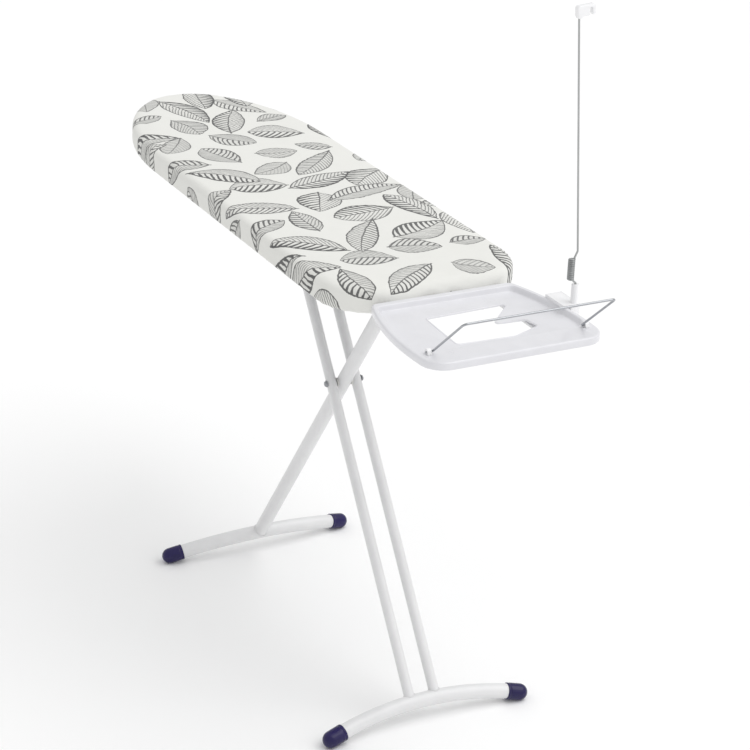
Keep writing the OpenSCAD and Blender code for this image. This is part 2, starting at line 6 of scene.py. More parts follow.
import bmesh
import bpy
import numpy as np
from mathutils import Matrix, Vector


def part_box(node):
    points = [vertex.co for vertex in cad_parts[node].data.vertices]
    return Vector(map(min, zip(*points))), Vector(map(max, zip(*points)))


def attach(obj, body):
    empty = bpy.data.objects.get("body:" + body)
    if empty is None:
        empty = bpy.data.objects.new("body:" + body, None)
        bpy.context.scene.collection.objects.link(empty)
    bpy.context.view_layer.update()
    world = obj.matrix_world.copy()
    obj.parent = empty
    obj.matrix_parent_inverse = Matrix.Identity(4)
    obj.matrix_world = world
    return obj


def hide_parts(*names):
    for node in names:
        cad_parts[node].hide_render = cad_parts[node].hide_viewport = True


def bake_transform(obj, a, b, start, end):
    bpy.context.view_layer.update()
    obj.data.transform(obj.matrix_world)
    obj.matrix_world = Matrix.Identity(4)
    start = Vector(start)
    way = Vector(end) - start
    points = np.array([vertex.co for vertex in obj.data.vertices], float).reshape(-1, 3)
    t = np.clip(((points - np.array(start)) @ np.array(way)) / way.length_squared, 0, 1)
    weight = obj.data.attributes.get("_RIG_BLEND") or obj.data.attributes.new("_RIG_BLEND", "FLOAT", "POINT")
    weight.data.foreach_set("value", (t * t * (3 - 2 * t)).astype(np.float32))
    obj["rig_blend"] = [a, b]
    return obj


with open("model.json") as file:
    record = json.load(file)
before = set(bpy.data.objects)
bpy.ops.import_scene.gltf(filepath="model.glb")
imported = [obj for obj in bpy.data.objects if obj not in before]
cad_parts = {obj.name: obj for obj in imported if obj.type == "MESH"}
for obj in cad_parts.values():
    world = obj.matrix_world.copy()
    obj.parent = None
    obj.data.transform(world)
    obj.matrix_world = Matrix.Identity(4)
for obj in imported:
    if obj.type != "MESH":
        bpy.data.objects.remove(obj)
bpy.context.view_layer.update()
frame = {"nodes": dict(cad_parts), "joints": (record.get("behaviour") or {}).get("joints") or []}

bl_info = {
    "name": "Ironing board",
    "version": (1, 0, 0),
    "blender": (4, 5, 0),
    "location": "3D View > Sidebar > Ironing board",
    "description": "Makes the cover, tray, wires, stand and finishes of a folding ironing board",
    "category": "Object",
}

# ---- Places read from the frame, in metres ----

COVER_LOW, COVER_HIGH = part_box("cover")
BOARD_X = (COVER_LOW.x + COVER_HIGH.x) / 2
HALF_L = (COVER_HIGH.x - COVER_LOW.x) / 2
HALF_W = (COVER_HIGH.y - COVER_LOW.y) / 2
TOP_Z = COVER_HIGH.z
UNDER_Z = COVER_LOW.z
TRAY_LOW, TRAY_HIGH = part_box("iron_tray")
RIM_Z = TRAY_HIGH.z
PIVOTS = {j["name"]: np.array(j["pos_m"]) for j in frame["joints"]}
SIDEWAYS = np.array([0.0, 1.0, 0.0])


# ---- Settings ----


def size(name, description, default):
    return bpy.props.FloatProperty(
        name=name, description=description, default=default, unit="LENGTH", precision=4
    )


def share(name, description, default):
    return bpy.props.FloatProperty(
        name=name, description=description, default=default, min=0, max=1, subtype="FACTOR"
    )


def number(name, description, default):
    return bpy.props.FloatProperty(name=name, description=description, default=default)


def colour(name, description, default):
    return bpy.props.FloatVectorProperty(
        name=name, description=description, default=default, size=3, min=0, max=1, subtype="COLOR"
    )


class CoverSettings(bpy.types.PropertyGroup):
    nose: size("Nose", "Length of the pointed nose", 0.355)
    corner: size("Corner", "Corner radius of the wide end", 0.107)
    edge: size("Edge", "Rounding of the padded top edge", 0.015)
    hem: size("Hem", "Width of the hem gathered under the board", 0.034)
    hem_roll: size("Hem roll", "Rounding of the side's lower edge", 0.004)
    cloth: size("Cloth", "Thickness of the cotton", 0.0008)
    crown: size("Crown", "Rise of the padded top over its edge", 0.0012)
    swell: size("Swell", "Most that the cloth moves as it settles on its pad", 0.0022)
    gather: size("Gather", "Depth of the folds where the hem is drawn in", 0.0055)
    fold: size("Fold", "Spacing of the hem's folds", 0.027)
    pitch: size("Pitch", "Spacing of the cloth's grid before it is smoothed", 0.0072)
    white: colour("Cloth colour", "Colour of the unprinted cotton", (0.80, 0.80, 0.765))
    ink: colour("Ink colour", "Colour of the darkest pencil lines", (0.028, 0.029, 0.031))


class TraySettings(bpy.types.PropertyGroup):
    near: size("Near corner", "Corner radius beside the board", 0.016)
    far: size("Far corner", "Corner radius of the outer end", 0.040)
    bow: size("Bow", "Radius of the bowed sides", 0.550)
    widest: share("Widest", "Where the sides are widest, along the tray", 0.69)
    rim: size("Rim", "Width of the rim round the well", 0.009)
    shelf: size("Shelf", "Width of the outer shelf beyond the wire rest", 0.046)
    skirt: size("Skirt", "Height of the rim's skirt", 0.014)
    well: size("Well", "Depth of the well", 0.010)
    wall: size("Wall", "Thickness of the moulding", 0.0025)
    slope: size("Slope", "Width of the well's soft wall", 0.0075)
    paint: colour("Tray colour", "Colour of the tray", (0.76, 0.76, 0.79))


class StandSettings(bpy.types.PropertyGroup):
    leg: size("Leg", "From a leg's upper pivot to the middle of its foot bar", 0.962)
    arch: size("Arch", "Rise of a foot bar, in its leg's plane", 0.030)
    span: size("Span", "Between the ends of a foot bar", 0.402)
    bar: size("Foot bar", "Diameter of a foot bar", 0.029)
    cap_wall: size("Cap wall", "Wall of a foot cap", 0.0018)
    cap: size("Cap", "Length of a foot cap's sleeve", 0.028)
    single: size("Single tube", "Diameter of the single leg tube", 0.028)
    twin: size("Twin tube", "Diameter of a twin leg tube", 0.020)
    twin_y: size("Twin spacing", "From the middle to a twin tube", 0.0263)
    paint: colour("Paint", "Colour of the painted tubes", (0.76, 0.76, 0.765))
    navy: colour("Foot caps", "Colour of the foot caps and the lever's grip", (0.016, 0.011, 0.078))


class WireSettings(bpy.types.PropertyGroup):
    rest: size("Rest wire", "Diameter of the wire rest", 0.004)
    arm: size("Rest arm", "Length of the rest's arms", 0.1255)
    width: size("Rest width", "Between the rest's pivot ends", 0.293)
    mast: size("Mast wire", "Diameter of the cord holder's wire", 0.0035)
    coil: size("Coil", "Outside diameter of the cord holder's spring", 0.013)
    turns: number("Turns", "Turns of the cord holder's spring", 11.5)
    clip: size("Clip", "Width of the cord clip", 0.010)
    chrome: colour("Bright wire", "Colour of the bright wire", (0.40, 0.41, 0.43))
    dark: colour("Dark spring", "Colour of the coil spring", (0.36, 0.37, 0.37))


class StageSettings(bpy.types.PropertyGroup):
    lens: number("Lens", "Focal length on a 36 mm sensor, in millimetres", 106.4)
    floor: colour("Floor", "Colour of the floor", (0.97, 0.97, 0.97))
    key: number("Key light", "Strength of the broad overhead light", 1.2)
    fill: number("Fill light", "Power of the side light, in watts", 9.0)
    sky: number("Sky", "Strength of the even light from all round", 0.72)


# ---- Mesh making ----

FULL_TURN = 2 * math.pi
POINT = 1e-5  # radius that stands for a point at a pole
NEARLY_STRAIGHT = 1.56  # half the angle between two legs of a path, above which its corner isn't rounded


def unit(v):
    return np.asarray(v, float) / np.linalg.norm(v)


def piece(name, verts, faces, smooth=35):
    """A new object with its faces turned outwards; edges sharper than `smooth` degrees stay sharp."""
    mesh = bpy.data.meshes.new(name)
    mesh.from_pydata([tuple(map(float, v)) for v in verts], [], faces)
    obj = bpy.data.objects.new(name, mesh)
    bpy.context.scene.collection.objects.link(obj)
    clean(obj, smooth)
    return obj


def clean(obj, smooth):
    """Merges double points and turns the faces outwards."""
    bm = bmesh.new()
    bm.from_mesh(obj.data)
    bmesh.ops.remove_doubles(bm, verts=bm.verts, dist=1e-6)
    bmesh.ops.recalc_face_normals(bm, faces=bm.faces)
    bm.to_mesh(obj.data)
    bm.free()
    shade(obj, smooth)


def shade(obj, smooth):
    """Smooth shading, with edges sharper than `smooth` degrees left sharp."""
    mesh = obj.data
    mesh.polygons.foreach_set("use_smooth", [True] * len(mesh.polygons))
    mesh.set_sharp_from_angle(angle=math.radians(smooth))


def skin(name, loops, cyclic=False, smooth=35):
    """A closed surface over a stack of loops; its end loops are closed, or joined when it is cyclic."""
    loops = np.asarray(loops, float)
    count, around = loops.shape[:2]
    k = np.arange(count if cyclic else count - 1)[:, None] * around
    i = np.arange(around)[None, :]
    j = (i + 1) % around
    up = (k + around) % (count * around)
    faces = np.stack([k + i, k + j, up + j, up + i], -1).reshape(-1, 4).tolist()
    if not cyclic:
        faces += [list(range(around)), list(range((count - 1) * around, count * around))]
    return piece(name, loops.reshape(-1, 3), faces, smooth)


def joined(name, parts):
    """One object from several, in the order given."""
    verts, faces = [], []
    for part in parts:
        start = len(verts)
        verts += [v.co[:] for v in part.data.vertices]
        faces += [[start + v for v in p.vertices] for p in part.data.polygons]
        bpy.data.objects.remove(part)
    return piece(name, verts, faces)


def sweep(name, path, radius, sides):
    """A round wire along a path."""
    path = np.asarray(path, float)
    along = np.gradient(path, axis=0)
    along /= np.linalg.norm(along, axis=1)[:, None]
    across = np.cross(along[0], (0, 0, 1) if abs(along[0][2]) < 0.9 else (0, 1, 0))
    turn = np.linspace(0, FULL_TURN, sides, endpoint=False)
    loops = []
    for at, way in zip(path, along):
        across = unit(across - way * across.dot(way))
        other = np.cross(way, across)
        loops.append(at + radius * (np.cos(turn)[:, None] * across + np.sin(turn)[:, None] * other))
    return skin(name, loops)


def bent(points, bend, steps=8):
    """The path through points with each corner rounded to the radius `bend`."""
    points = [np.asarray(p, float) for p in points]
    path = [points[0]]
    for before, at, after in zip(points, points[1:], points[2:]):
        back, on = unit(before - at), unit(after - at)
        half = math.acos(np.clip(back.dot(on), -1, 1)) / 2
        if half > NEARLY_STRAIGHT:
            path.append(at)
            continue
        longest = 0.48 * min(np.linalg.norm(before - at), np.linalg.norm(after - at))
        run = min(bend / math.tan(half), longest)
        centre = at + unit(back + on) * run / math.cos(half)
        start, end = at + back * run - centre, at + on * run - centre
        whole = math.pi - 2 * half
        for t in np.linspace(0, 1, steps + 1):
            blend = math.sin((1 - t) * whole) * start + math.sin(t * whole) * end
            path.append(centre + blend / math.sin(whole))
    path.append(points[-1])
    return np.array(path)


def turned(name, profile, at, axis):
    """A solid of revolution: profile is (distance along the axis, radius) from its start to its end."""
    axis = unit(axis)
    across = unit(np.cross(axis, (0.3, 0.2, 1.0)))
    other = np.cross(axis, across)
    turn = np.linspace(0, FULL_TURN, 40, endpoint=False)
    ring = np.cos(turn)[:, None] * across + np.sin(turn)[:, None] * other
    return skin(name, [np.asarray(at) + axis * h + ring * max(r, POINT) for h, r in profile])


def baked(obj):
    """obj with its modifiers worked into its mesh."""
    depsgraph = bpy.context.evaluated_depsgraph_get()
    mesh = bpy.data.meshes.new_from_object(obj.evaluated_get(depsgraph))
    obj.modifiers.clear()
    obj.data = mesh
    return obj


def rounded(obj, width, segments, angle=38):
    """Rounds the edges that are sharper than `angle` degrees."""
    bevel = obj.modifiers.new("rounding", "BEVEL")
    bevel.width = width
    bevel.segments = segments
    bevel.limit_method = "ANGLE"
    bevel.angle_limit = math.radians(angle)
    bevel.use_clamp_overlap = True
    baked(obj)
    shade(obj, 40)
    return obj


def eased_copy(node, width, segments):
    """A copy of a CAD node, merged, with its sharp edges eased."""
    mesh = frame["nodes"][node].data.copy()
    for layer in [a.name for a in mesh.attributes if a.name in ("custom_normal", "sharp_edge")]:
        mesh.attributes.remove(mesh.attributes[layer])
    mesh.materials.clear()
    obj = bpy.data.objects.new(node + "_shown", mesh)
    bpy.context.scene.collection.objects.link(obj)
    bm = bmesh.new()
    bm.from_mesh(mesh)
    bmesh.ops.remove_doubles(bm, verts=bm.verts, dist=2e-6)
    bmesh.ops.dissolve_limit(bm, angle_limit=math.radians(0.3), verts=bm.verts, edges=bm.edges)
    bm.to_mesh(mesh)
    bm.free()
    return rounded(obj, width, segments)


def placed(obj, body, material, slot, *nodes):
    """Gives a finished piece its material and body, and hides the CAD nodes that it stands for. Its slot is
    not used.
    """
    obj.data.materials.clear()
    obj.data.materials.append(bpy.data.materials[material])
    for face in obj.data.polygons:
        face.material_index = 0
    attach(obj, body)
    if nodes:
        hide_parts(*nodes)
    return obj


def eased(body, material, slot, width, nodes, segments=2):
    """Eased copies of CAD nodes that stand for them, in one finish."""
    for node in nodes:
        placed(eased_copy(node, width, segments), body, material, slot, node)


def finish_node(node, material):
    """A CAD node that stays as it is, in its own finish."""
    mesh = frame["nodes"][node].data
    mesh.materials.clear()
    mesh.materials.append(bpy.data.materials[material])


# ---- Node trees ----


class Wiring:
    """Writes a node tree's arithmetic as plain calls."""

    def __init__(self, tree):
        self.tree = tree

    def node(self, kind, **settings):
        node = self.tree.nodes.new(kind)
        for name, value in settings.items():
            setattr(node, name, value)
        return node

    def fed(self, kind, inputs, **settings):
        """A node with its named inputs given."""
        node = self.node(kind, **settings)
        for name, value in inputs.items():
            self.put(node.inputs[name], value)
        return node

    def put(self, socket, value):
        if isinstance(value, bpy.types.NodeSocket):
            self.tree.links.new(value, socket)
        else:
            socket.default_value = value

    def maths(self, operation, *values, clamp=False):
        node = self.node("ShaderNodeMath", operation=operation, use_clamp=clamp)
        for socket, value in zip(node.inputs, values):
            self.put(socket, value)
        return node.outputs[0]

    def add(self, a, b):
        return self.maths("ADD", a, b)

    def sub(self, a, b):
        return self.maths("SUBTRACT", a, b)

    def mul(self, a, b):
        return self.maths("MULTIPLY", a, b)

    def div(self, a, b):
        return self.maths("DIVIDE", a, b)

    def most(self, a, b):
        return self.maths("MAXIMUM", a, b)

    def rise(self, value, low, high):
        """0 below low, 1 above high, with a soft step between."""
        node = self.node("ShaderNodeMapRange", interpolation_type="SMOOTHSTEP")
        for socket, v in zip(node.inputs, (value, low, high)):
            self.put(socket, v)
        return node.outputs[0]

    def fall(self, value, low, high):
        return self.sub(1.0, self.rise(value, low, high))

    def between(self, share, a, b):
        return self.add(a, self.mul(share, self.sub(b, a)))

    def vector(self, x=0.0, y=0.0, z=0.0):
        return self.fed("ShaderNodeCombineXYZ", {"X": x, "Y": y, "Z": z}).outputs[0]

    def moved(self, geometry, **change):
        """Geometry with a Translation, Rotation or Scale."""
        return self.fed("GeometryNodeTransform", {"Geometry": geometry, **change}).outputs[0]

    def split(self, vector):
        node = self.node("ShaderNodeSeparateXYZ")
        self.put(node.inputs[0], vector)
        return node.outputs

    def noise(self, vector, scale, detail=2.0, roughness=0.5):
        inputs = {"Vector": vector, "Scale": scale, "Detail": detail, "Roughness": roughness}
        return self.fed("ShaderNodeTexNoise", inputs).outputs["Fac"]

    def scaled(self, vector, factor):
        node = self.node("ShaderNodeVectorMath", operation="SCALE")
        self.put(node.inputs[0], vector)
        self.put(node.inputs["Scale"], factor)
        return node.outputs[0]

    def mix(self, share, a, b):
        node = self.node("ShaderNodeMix", data_type="RGBA")
        for socket, value in ((node.inputs["Factor"], share), (node.inputs[6], a), (node.inputs[7], b)):
            if not isinstance(value, bpy.types.NodeSocket) and socket.name != "Factor":
                value = (*value, 1.0)
            self.put(socket, value)
        return node.outputs[2]


def new_material(name, rough, metallic=0.0, coat=0.0, sheen=0.0):
    material = bpy.data.materials.new(name)
    material.use_nodes = True
    shader = material.node_tree.nodes["Principled BSDF"]
    for label, value in (("Metallic", metallic), ("Roughness", rough), ("Coat Weight", coat),
                         ("Coat Roughness", 0.12), ("Sheen Weight", sheen)):
        shader.inputs[label].default_value = value
    return material, shader, Wiring(material.node_tree)


def bumped(w, shader, height, strength, distance):
    bump = w.fed("ShaderNodeBump", {"Height": height, "Strength": strength, "Distance": distance})
    w.put(shader.inputs["Normal"], bump.outputs[0])


def surface_finish(name, tint, rough, metallic=0.0, coat=0.0, grain=900.0, relief=0.00003, mottle=0.05,
                   streak=1.0, specular=0.5):
    """A finish with fine relief of its own scale, slightly uneven in colour and gloss.
    `streak` above 1 draws the grain out along X, as on rolled or drawn metal."""
    material, shader, w = new_material(name, rough, metallic, coat)
    shader.inputs["Specular IOR Level"].default_value = specular
    place = w.node("ShaderNodeTexCoord").outputs["Object"]
    stretch = w.fed("ShaderNodeMapping", {"Vector": place, "Scale": (1.0 / streak, 1.0, 1.0)})
    fine = w.noise(stretch.outputs[0], grain, 3.0, 0.6)
    broad = w.noise(place, 22.0, 3.0)
    deep = tuple(c * (1 - 2.2 * mottle) for c in tint)
    pale = tuple(min(1.0, c * (1 + mottle)) for c in tint)
    w.put(shader.inputs["Base Color"], w.mix(w.rise(broad, 0.3, 0.7), deep, pale))
    uneven = w.add(w.mul(broad, 0.10), w.mul(fine, 0.08))
    w.put(shader.inputs["Roughness"], w.maths("ADD", w.sub(uneven, 0.09), rough, clamp=True))
    bumped(w, shader, fine, 0.5, relief)
    return material


# ---- The printed cotton ----

# Kinds of leaf: length and half width in millimetres, boldness of the rungs, depth of the
# grey wash, darkness.
LEAF_KINDS = (
    (170, 31, 0.9, 0.2, 0.95), (100, 26, 0.4, 0.4, 0.85), (158, 28, 0.1, 0.3, 0.85),
    (84, 22, 0.3, 0.5, 0.75), (120, 41, 0.7, 0.1, 0.9), (92, 30, 0.0, 0.7, 0.7),
    (140, 33, 0.6, 0.2, 0.95), (76, 21, 0.5, 0.3, 0.85), (112, 35, 0.2, 0.5, 0.8),
)
LEAF_COLUMNS, LEAF_ROWS = 14, 5
LEAF_STEP = (100, 106)  # between columns and between rows, in millimetres
LEAF_STRAY = 14  # most that a leaf strays from its spot each way, in millimetres
LEAF_TURNS = 24  # directions tried for a leaf
LEAF_SEED = 29
LEAF_LAYERS = ("front_leaf", "middle_leaf", "back_leaf")
NO_LEAF = 9.0  # a place well outside any leaf
LEAF_BOW = 0.28  # most that a midrib bows, in half widths
LEAF_BOW_STEP = 7.3  # turns each leaf's number into its own bow


def scattered_leaves():
    """Leaves set out in staggered rows on the flat cloth, in millimetres from the board's middle.
    Each takes the direction that leaves it the most room beside those already there."""
    pick = random.Random(LEAF_SEED)
    spots = [((column - (LEAF_COLUMNS - 1) / 2) * LEAF_STEP[0],
              (row - (LEAF_ROWS - 1) / 2 + (0.25 if column % 2 else -0.25)) * LEAF_STEP[1])
             for column in range(LEAF_COLUMNS) for row in range(LEAF_ROWS)]
    pick.shuffle(spots)
    leaves, taken = [], np.empty((0, 3))
    for number, spot in enumerate(spots):
        length, half, bold, wash, dark = LEAF_KINDS[number % len(LEAF_KINDS)]
        length *= pick.uniform(0.85, 1.15)
        middle = np.array(spot) + [pick.uniform(-LEAF_STRAY, LEAF_STRAY) for _ in "xy"]
        first, best = pick.uniform(0, FULL_TURN), None
        for turn in range(LEAF_TURNS):
            angle = first + FULL_TURN * turn / LEAF_TURNS
            along = np.array([math.cos(angle), math.sin(angle)]) * length / 2
            share = np.linspace(-1, 1, 7)
            rib = np.c_[middle + share[:, None] * along, half * (1 - share**2) ** 0.7]
            apart = np.linalg.norm(rib[:, None, :2] - taken[None, :, :2], axis=2)
            room = (apart - rib[:, None, 2] - taken[None, :, 2]).min() if len(taken) else 0.0
            if best is None or room > best[0] + 0.5:
                best = (room, along, rib)
        _, along, rib = best
        taken = np.vstack([taken, rib])
        leaves.append((middle - along, middle + along, half, bold, wash, dark))
    return leaves


def leaf_curve(seed):
    """How far a leaf's midrib bows to one side, as a share of its half width."""
    return LEAF_BOW * math.sin(LEAF_BOW_STEP * seed)


def mark_leaves(obj):
    """Writes, on each corner of the cloth, where it lies in up to three leaves that overlap there:
    place is (along -1 to 1, across in half widths, number and darkness) and
    make is (length and half width in millimetres, boldness and wash)."""
    mesh = obj.data
    flat = np.empty(len(mesh.loops) * 2)
    mesh.uv_layers["flat_cloth"].data.foreach_get("uv", flat)
    flat = flat.reshape(-1, 2) * 1000
    starts = np.empty(len(mesh.polygons), int)
    mesh.polygons.foreach_get("loop_start", starts)
    counts = np.diff(np.append(starts, len(mesh.loops)))
    face = np.repeat(np.arange(len(starts)), counts)
    place = [np.full((len(flat), 3), NO_LEAF) for _ in LEAF_LAYERS]
    make = [np.full((len(flat), 3), 1.0) for _ in LEAF_LAYERS]
    filled = np.zeros(len(starts), int)
    for seed, (tail, tip, half, bold, wash, dark) in enumerate(scattered_leaves()):
        length = np.linalg.norm(tip - tail)
        along = (tip - tail) / length
        u = (flat - tail) @ along / length * 2 - 1
        v = ((flat - tail) @ np.array([-along[1], along[0]])) / half
        body = np.clip(1 - u * u, 0, 1)
        reach = np.abs(v - leaf_curve(seed) * body) * half - half * 1.3 * body**0.85
        near = (reach < 10) & (np.abs(u) < 1 + 24 / length)
        faces = np.unique(face[near])
        for layer in range(len(LEAF_LAYERS)):
            use = np.isin(face, faces[filled[faces] == layer])
            bolder = math.floor(wash * 10) + min(bold, 0.98)
            place[layer][use] = np.stack([u, v, np.full_like(u, seed + min(dark, 0.99))], 1)[use]
            make[layer][use] = (length, half, bolder)
        filled[faces] += 1
    for name, where, how in zip(LEAF_LAYERS, place, make):
        for suffix, values in (("_place", where), ("_make", how)):
            layer = mesh.attributes.new(name + suffix, "FLOAT_VECTOR", "CORNER")
            layer.data.foreach_set("vector", values.astype(np.float32).ravel())


def leaf_drawing():
    """One pencilled leaf: outline, midrib, bold rungs on one half, thin ribs on the other, a grey wash."""
    tree = bpy.data.node_groups.new("pencilled_leaf", "ShaderNodeTree")
    for name in ("Place", "Make", "Cloth"):
        tree.interface.new_socket(name, in_out="INPUT", socket_type="NodeSocketVector")
    for name in ("Ink", "Inside"):
        tree.interface.new_socket(name, in_out="OUTPUT", socket_type="NodeSocketFloat")
    w = Wiring(tree)
    given, result = w.node("NodeGroupInput"), w.node("NodeGroupOutput")
    u, v, tag = w.split(given.outputs["Place"])
    length, half, style = w.split(given.outputs["Make"])
    cloth = given.outputs["Cloth"]
    seed = w.maths("FLOOR", tag)
    dark = w.maths("FRACT", tag)
    wash = w.mul(w.maths("FLOOR", w.add(style, 0.001)), 0.1)
    bold = w.maths("FRACT", style)

    # Hand wobble, in millimetres
    slow = w.sub(w.noise(cloth, 0.035, 2.0), 0.5)
    quick = w.sub(w.noise(cloth, 0.16, 2.0), 0.5)
    grain = w.noise(cloth, 0.9, 3.0, 0.7)
    along = w.add(w.mul(w.mul(w.add(u, 1.0), 0.5), length), w.mul(slow, 7.0))
    across = w.add(w.mul(v, half), w.add(w.mul(slow, 6.0), w.mul(quick, 3.0)))
    place = w.sub(w.mul(w.div(along, length), 2.0), 1.0)
    body = w.most(w.sub(1.0, w.mul(place, place)), 0.0)
    bow = w.mul(w.maths("SINE", w.mul(seed, LEAF_BOW_STEP)), LEAF_BOW)
    across = w.sub(across, w.mul(w.mul(bow, half), body))
    skew = w.mul(w.maths("SINE", w.mul(seed, 12.1)), 0.28)
    wide = w.mul(w.mul(half, w.maths("POWER", body, 0.88)), w.add(1.0, w.mul(skew, place)))
    off = w.maths("ABSOLUTE", across)
    edge = w.sub(wide, off)
    out = w.div(off, w.most(wide, 0.5))
    flip = w.maths("GREATER_THAN", w.maths("SINE", w.mul(seed, 5.7)), 0.0)
    left = w.maths("GREATER_THAN", across, 0.0)
    strong = w.maths("ABSOLUTE", w.sub(left, flip))

    # Ribs lean towards the tip: few bold rungs on the strong half, closer thin ones on the other
    lean = w.between(strong, 0.95, 0.35)
    pitch = w.between(strong, 10.5, w.add(10.5, w.mul(bold, 3.5)))
    bend = w.mul(w.mul(off, out), 0.28)
    count = w.div(w.sub(along, w.add(w.mul(off, lean), bend)), pitch)
    near = w.maths("ABSOLUTE", w.sub(w.maths("FRACT", w.add(count, w.mul(seed, 0.37))), 0.5))
    thin = w.add(0.135, w.mul(w.mul(out, out), 0.08))
    fat = w.add(0.16, w.mul(w.mul(bold, out), w.add(0.07, w.mul(out, 0.20))))
    reach = w.add(w.between(strong, thin, fat), w.mul(quick, 0.09))
    ribs = w.fall(near, w.sub(reach, 0.035), w.add(reach, 0.045))
    ribs = w.mul(ribs, w.between(strong, 0.8, 1.0))
    ribs = w.mul(ribs, w.between(w.rise(wash, 0.5, 0.9), 1.0, 0.45))

    taper = w.add(0.5, w.mul(w.sub(1.0, place), 0.45))
    midrib = w.mul(w.fall(off, taper, w.add(taper, 0.8)), 0.95)
    cloud = w.noise(cloth, 0.055, 3.0)
    tone = w.mul(w.add(0.04, w.mul(wash, 0.45)), w.add(0.2, w.mul(cloud, 1.1)))
    tone = w.mul(tone, w.between(strong, 1.15, 0.75))
    hatch = w.mul(w.rise(grain, 0.52, 0.7), w.mul(w.add(0.08, w.mul(wash, 0.3)), out))
    inside = w.rise(edge, -0.4, 0.4)
    fill = w.most(w.mul(w.most(ribs, w.add(tone, hatch)), inside), midrib)
    line = w.add(w.add(0.95, w.mul(quick, 1.5)), w.mul(strong, w.add(0.2, w.mul(bold, 0.7))))
    outline = w.fall(w.maths("ABSOLUTE", edge), line, w.add(line, 0.8))
    ends = w.mul(w.fall(place, 1.0, 1.03), w.rise(place, -1.10, -1.04))
    strength = w.add(0.6, w.mul(dark, 0.4))
    ink = w.mul(w.mul(w.most(fill, outline), ends), w.mul(strength, w.add(0.8, w.mul(grain, 0.4))))
    w.put(result.inputs["Ink"], w.maths("MULTIPLY", ink, 1.0, clamp=True))
    w.put(result.inputs["Inside"], w.mul(inside, w.mul(w.fall(place, 1.0, 1.02), w.rise(place, -1.02, -1.0))))
    return tree


def weave(w, cloth, thread):
    """Plain weave of the given thread spacing, in millimetres on the flat cloth: height from 0 to 1."""
    x, y, _ = w.split(cloth)
    a = w.maths("SINE", w.mul(x, FULL_TURN / thread))
    b = w.maths("SINE", w.mul(y, FULL_TURN / thread))
    return w.add(0.5, w.mul(w.mul(a, b), 0.5))


def printed_cotton(settings):
    _, shader, w = new_material("printed_cotton", 0.86, sheen=0.15)
    uv = w.node("ShaderNodeUVMap", uv_map="flat_cloth").outputs[0]
    cloth = w.scaled(uv, 1000.0)
    drawing = leaf_drawing()
    ink = hidden = 0.0
    for name in LEAF_LAYERS:
        leaf = w.node("ShaderNodeGroup", node_tree=drawing)
        for socket, suffix in (("Place", "_place"), ("Make", "_make")):
            mark = w.node("ShaderNodeAttribute", attribute_type="GEOMETRY", attribute_name=name + suffix)
            w.put(leaf.inputs[socket], mark.outputs["Vector"])
        w.put(leaf.inputs["Cloth"], cloth)
        ink = w.most(ink, w.mul(leaf.outputs["Ink"], w.sub(1.0, hidden)))
        hidden = w.most(hidden, leaf.outputs["Inside"])
    threads = weave(w, cloth, 0.75)
    blotch = w.noise(cloth, 0.02, 3.0)
    white = tuple(settings.white)
    ground = w.mix(blotch, tuple(0.965 * c for c in white), tuple(min(1.0, 1.02 * c) for c in white))
    soaked = w.mul(ink, w.add(0.86, w.mul(threads, 0.14)))
    w.put(shader.inputs["Base Color"], w.mix(soaked, ground, tuple(settings.ink)))
    slub = w.noise(cloth, 0.35, 3.0)
    height = w.add(w.mul(threads, 0.35), w.mul(slub, 0.5))
    bumped(w, shader, height, 0.35, 0.00025)


def plain_cotton(settings):
    _, shader, w = new_material("hem_cotton", 0.9, sheen=0.15)
    place = w.node("ShaderNodeTexCoord").outputs["Object"]
    threads = weave(w, w.scaled(place, 1000.0), 0.7)
    tint = tuple(settings.white)
    # The weave's hollows are painted darker than the thread tops: painted shade between the threads.
    w.put(shader.inputs["Base Color"], w.mix(threads, tuple(0.86 * c for c in tint), tint))
    bumped(w, shader, w.add(w.mul(threads, 0.6), w.noise(place, 400.0)), 0.5, 0.0002)


def felt():
    _, shader, w = new_material("needled_felt", 0.95, sheen=0.3)
    place = w.node("ShaderNodeTexCoord").outputs["Object"]
    fibres = w.noise(place, 700.0, 6.0, 0.75)
    w.put(shader.inputs["Base Color"], w.mix(fibres, (0.60, 0.58, 0.53), (0.80, 0.78, 0.73)))
    bumped(w, shader, fibres, 0.9, 0.0006)


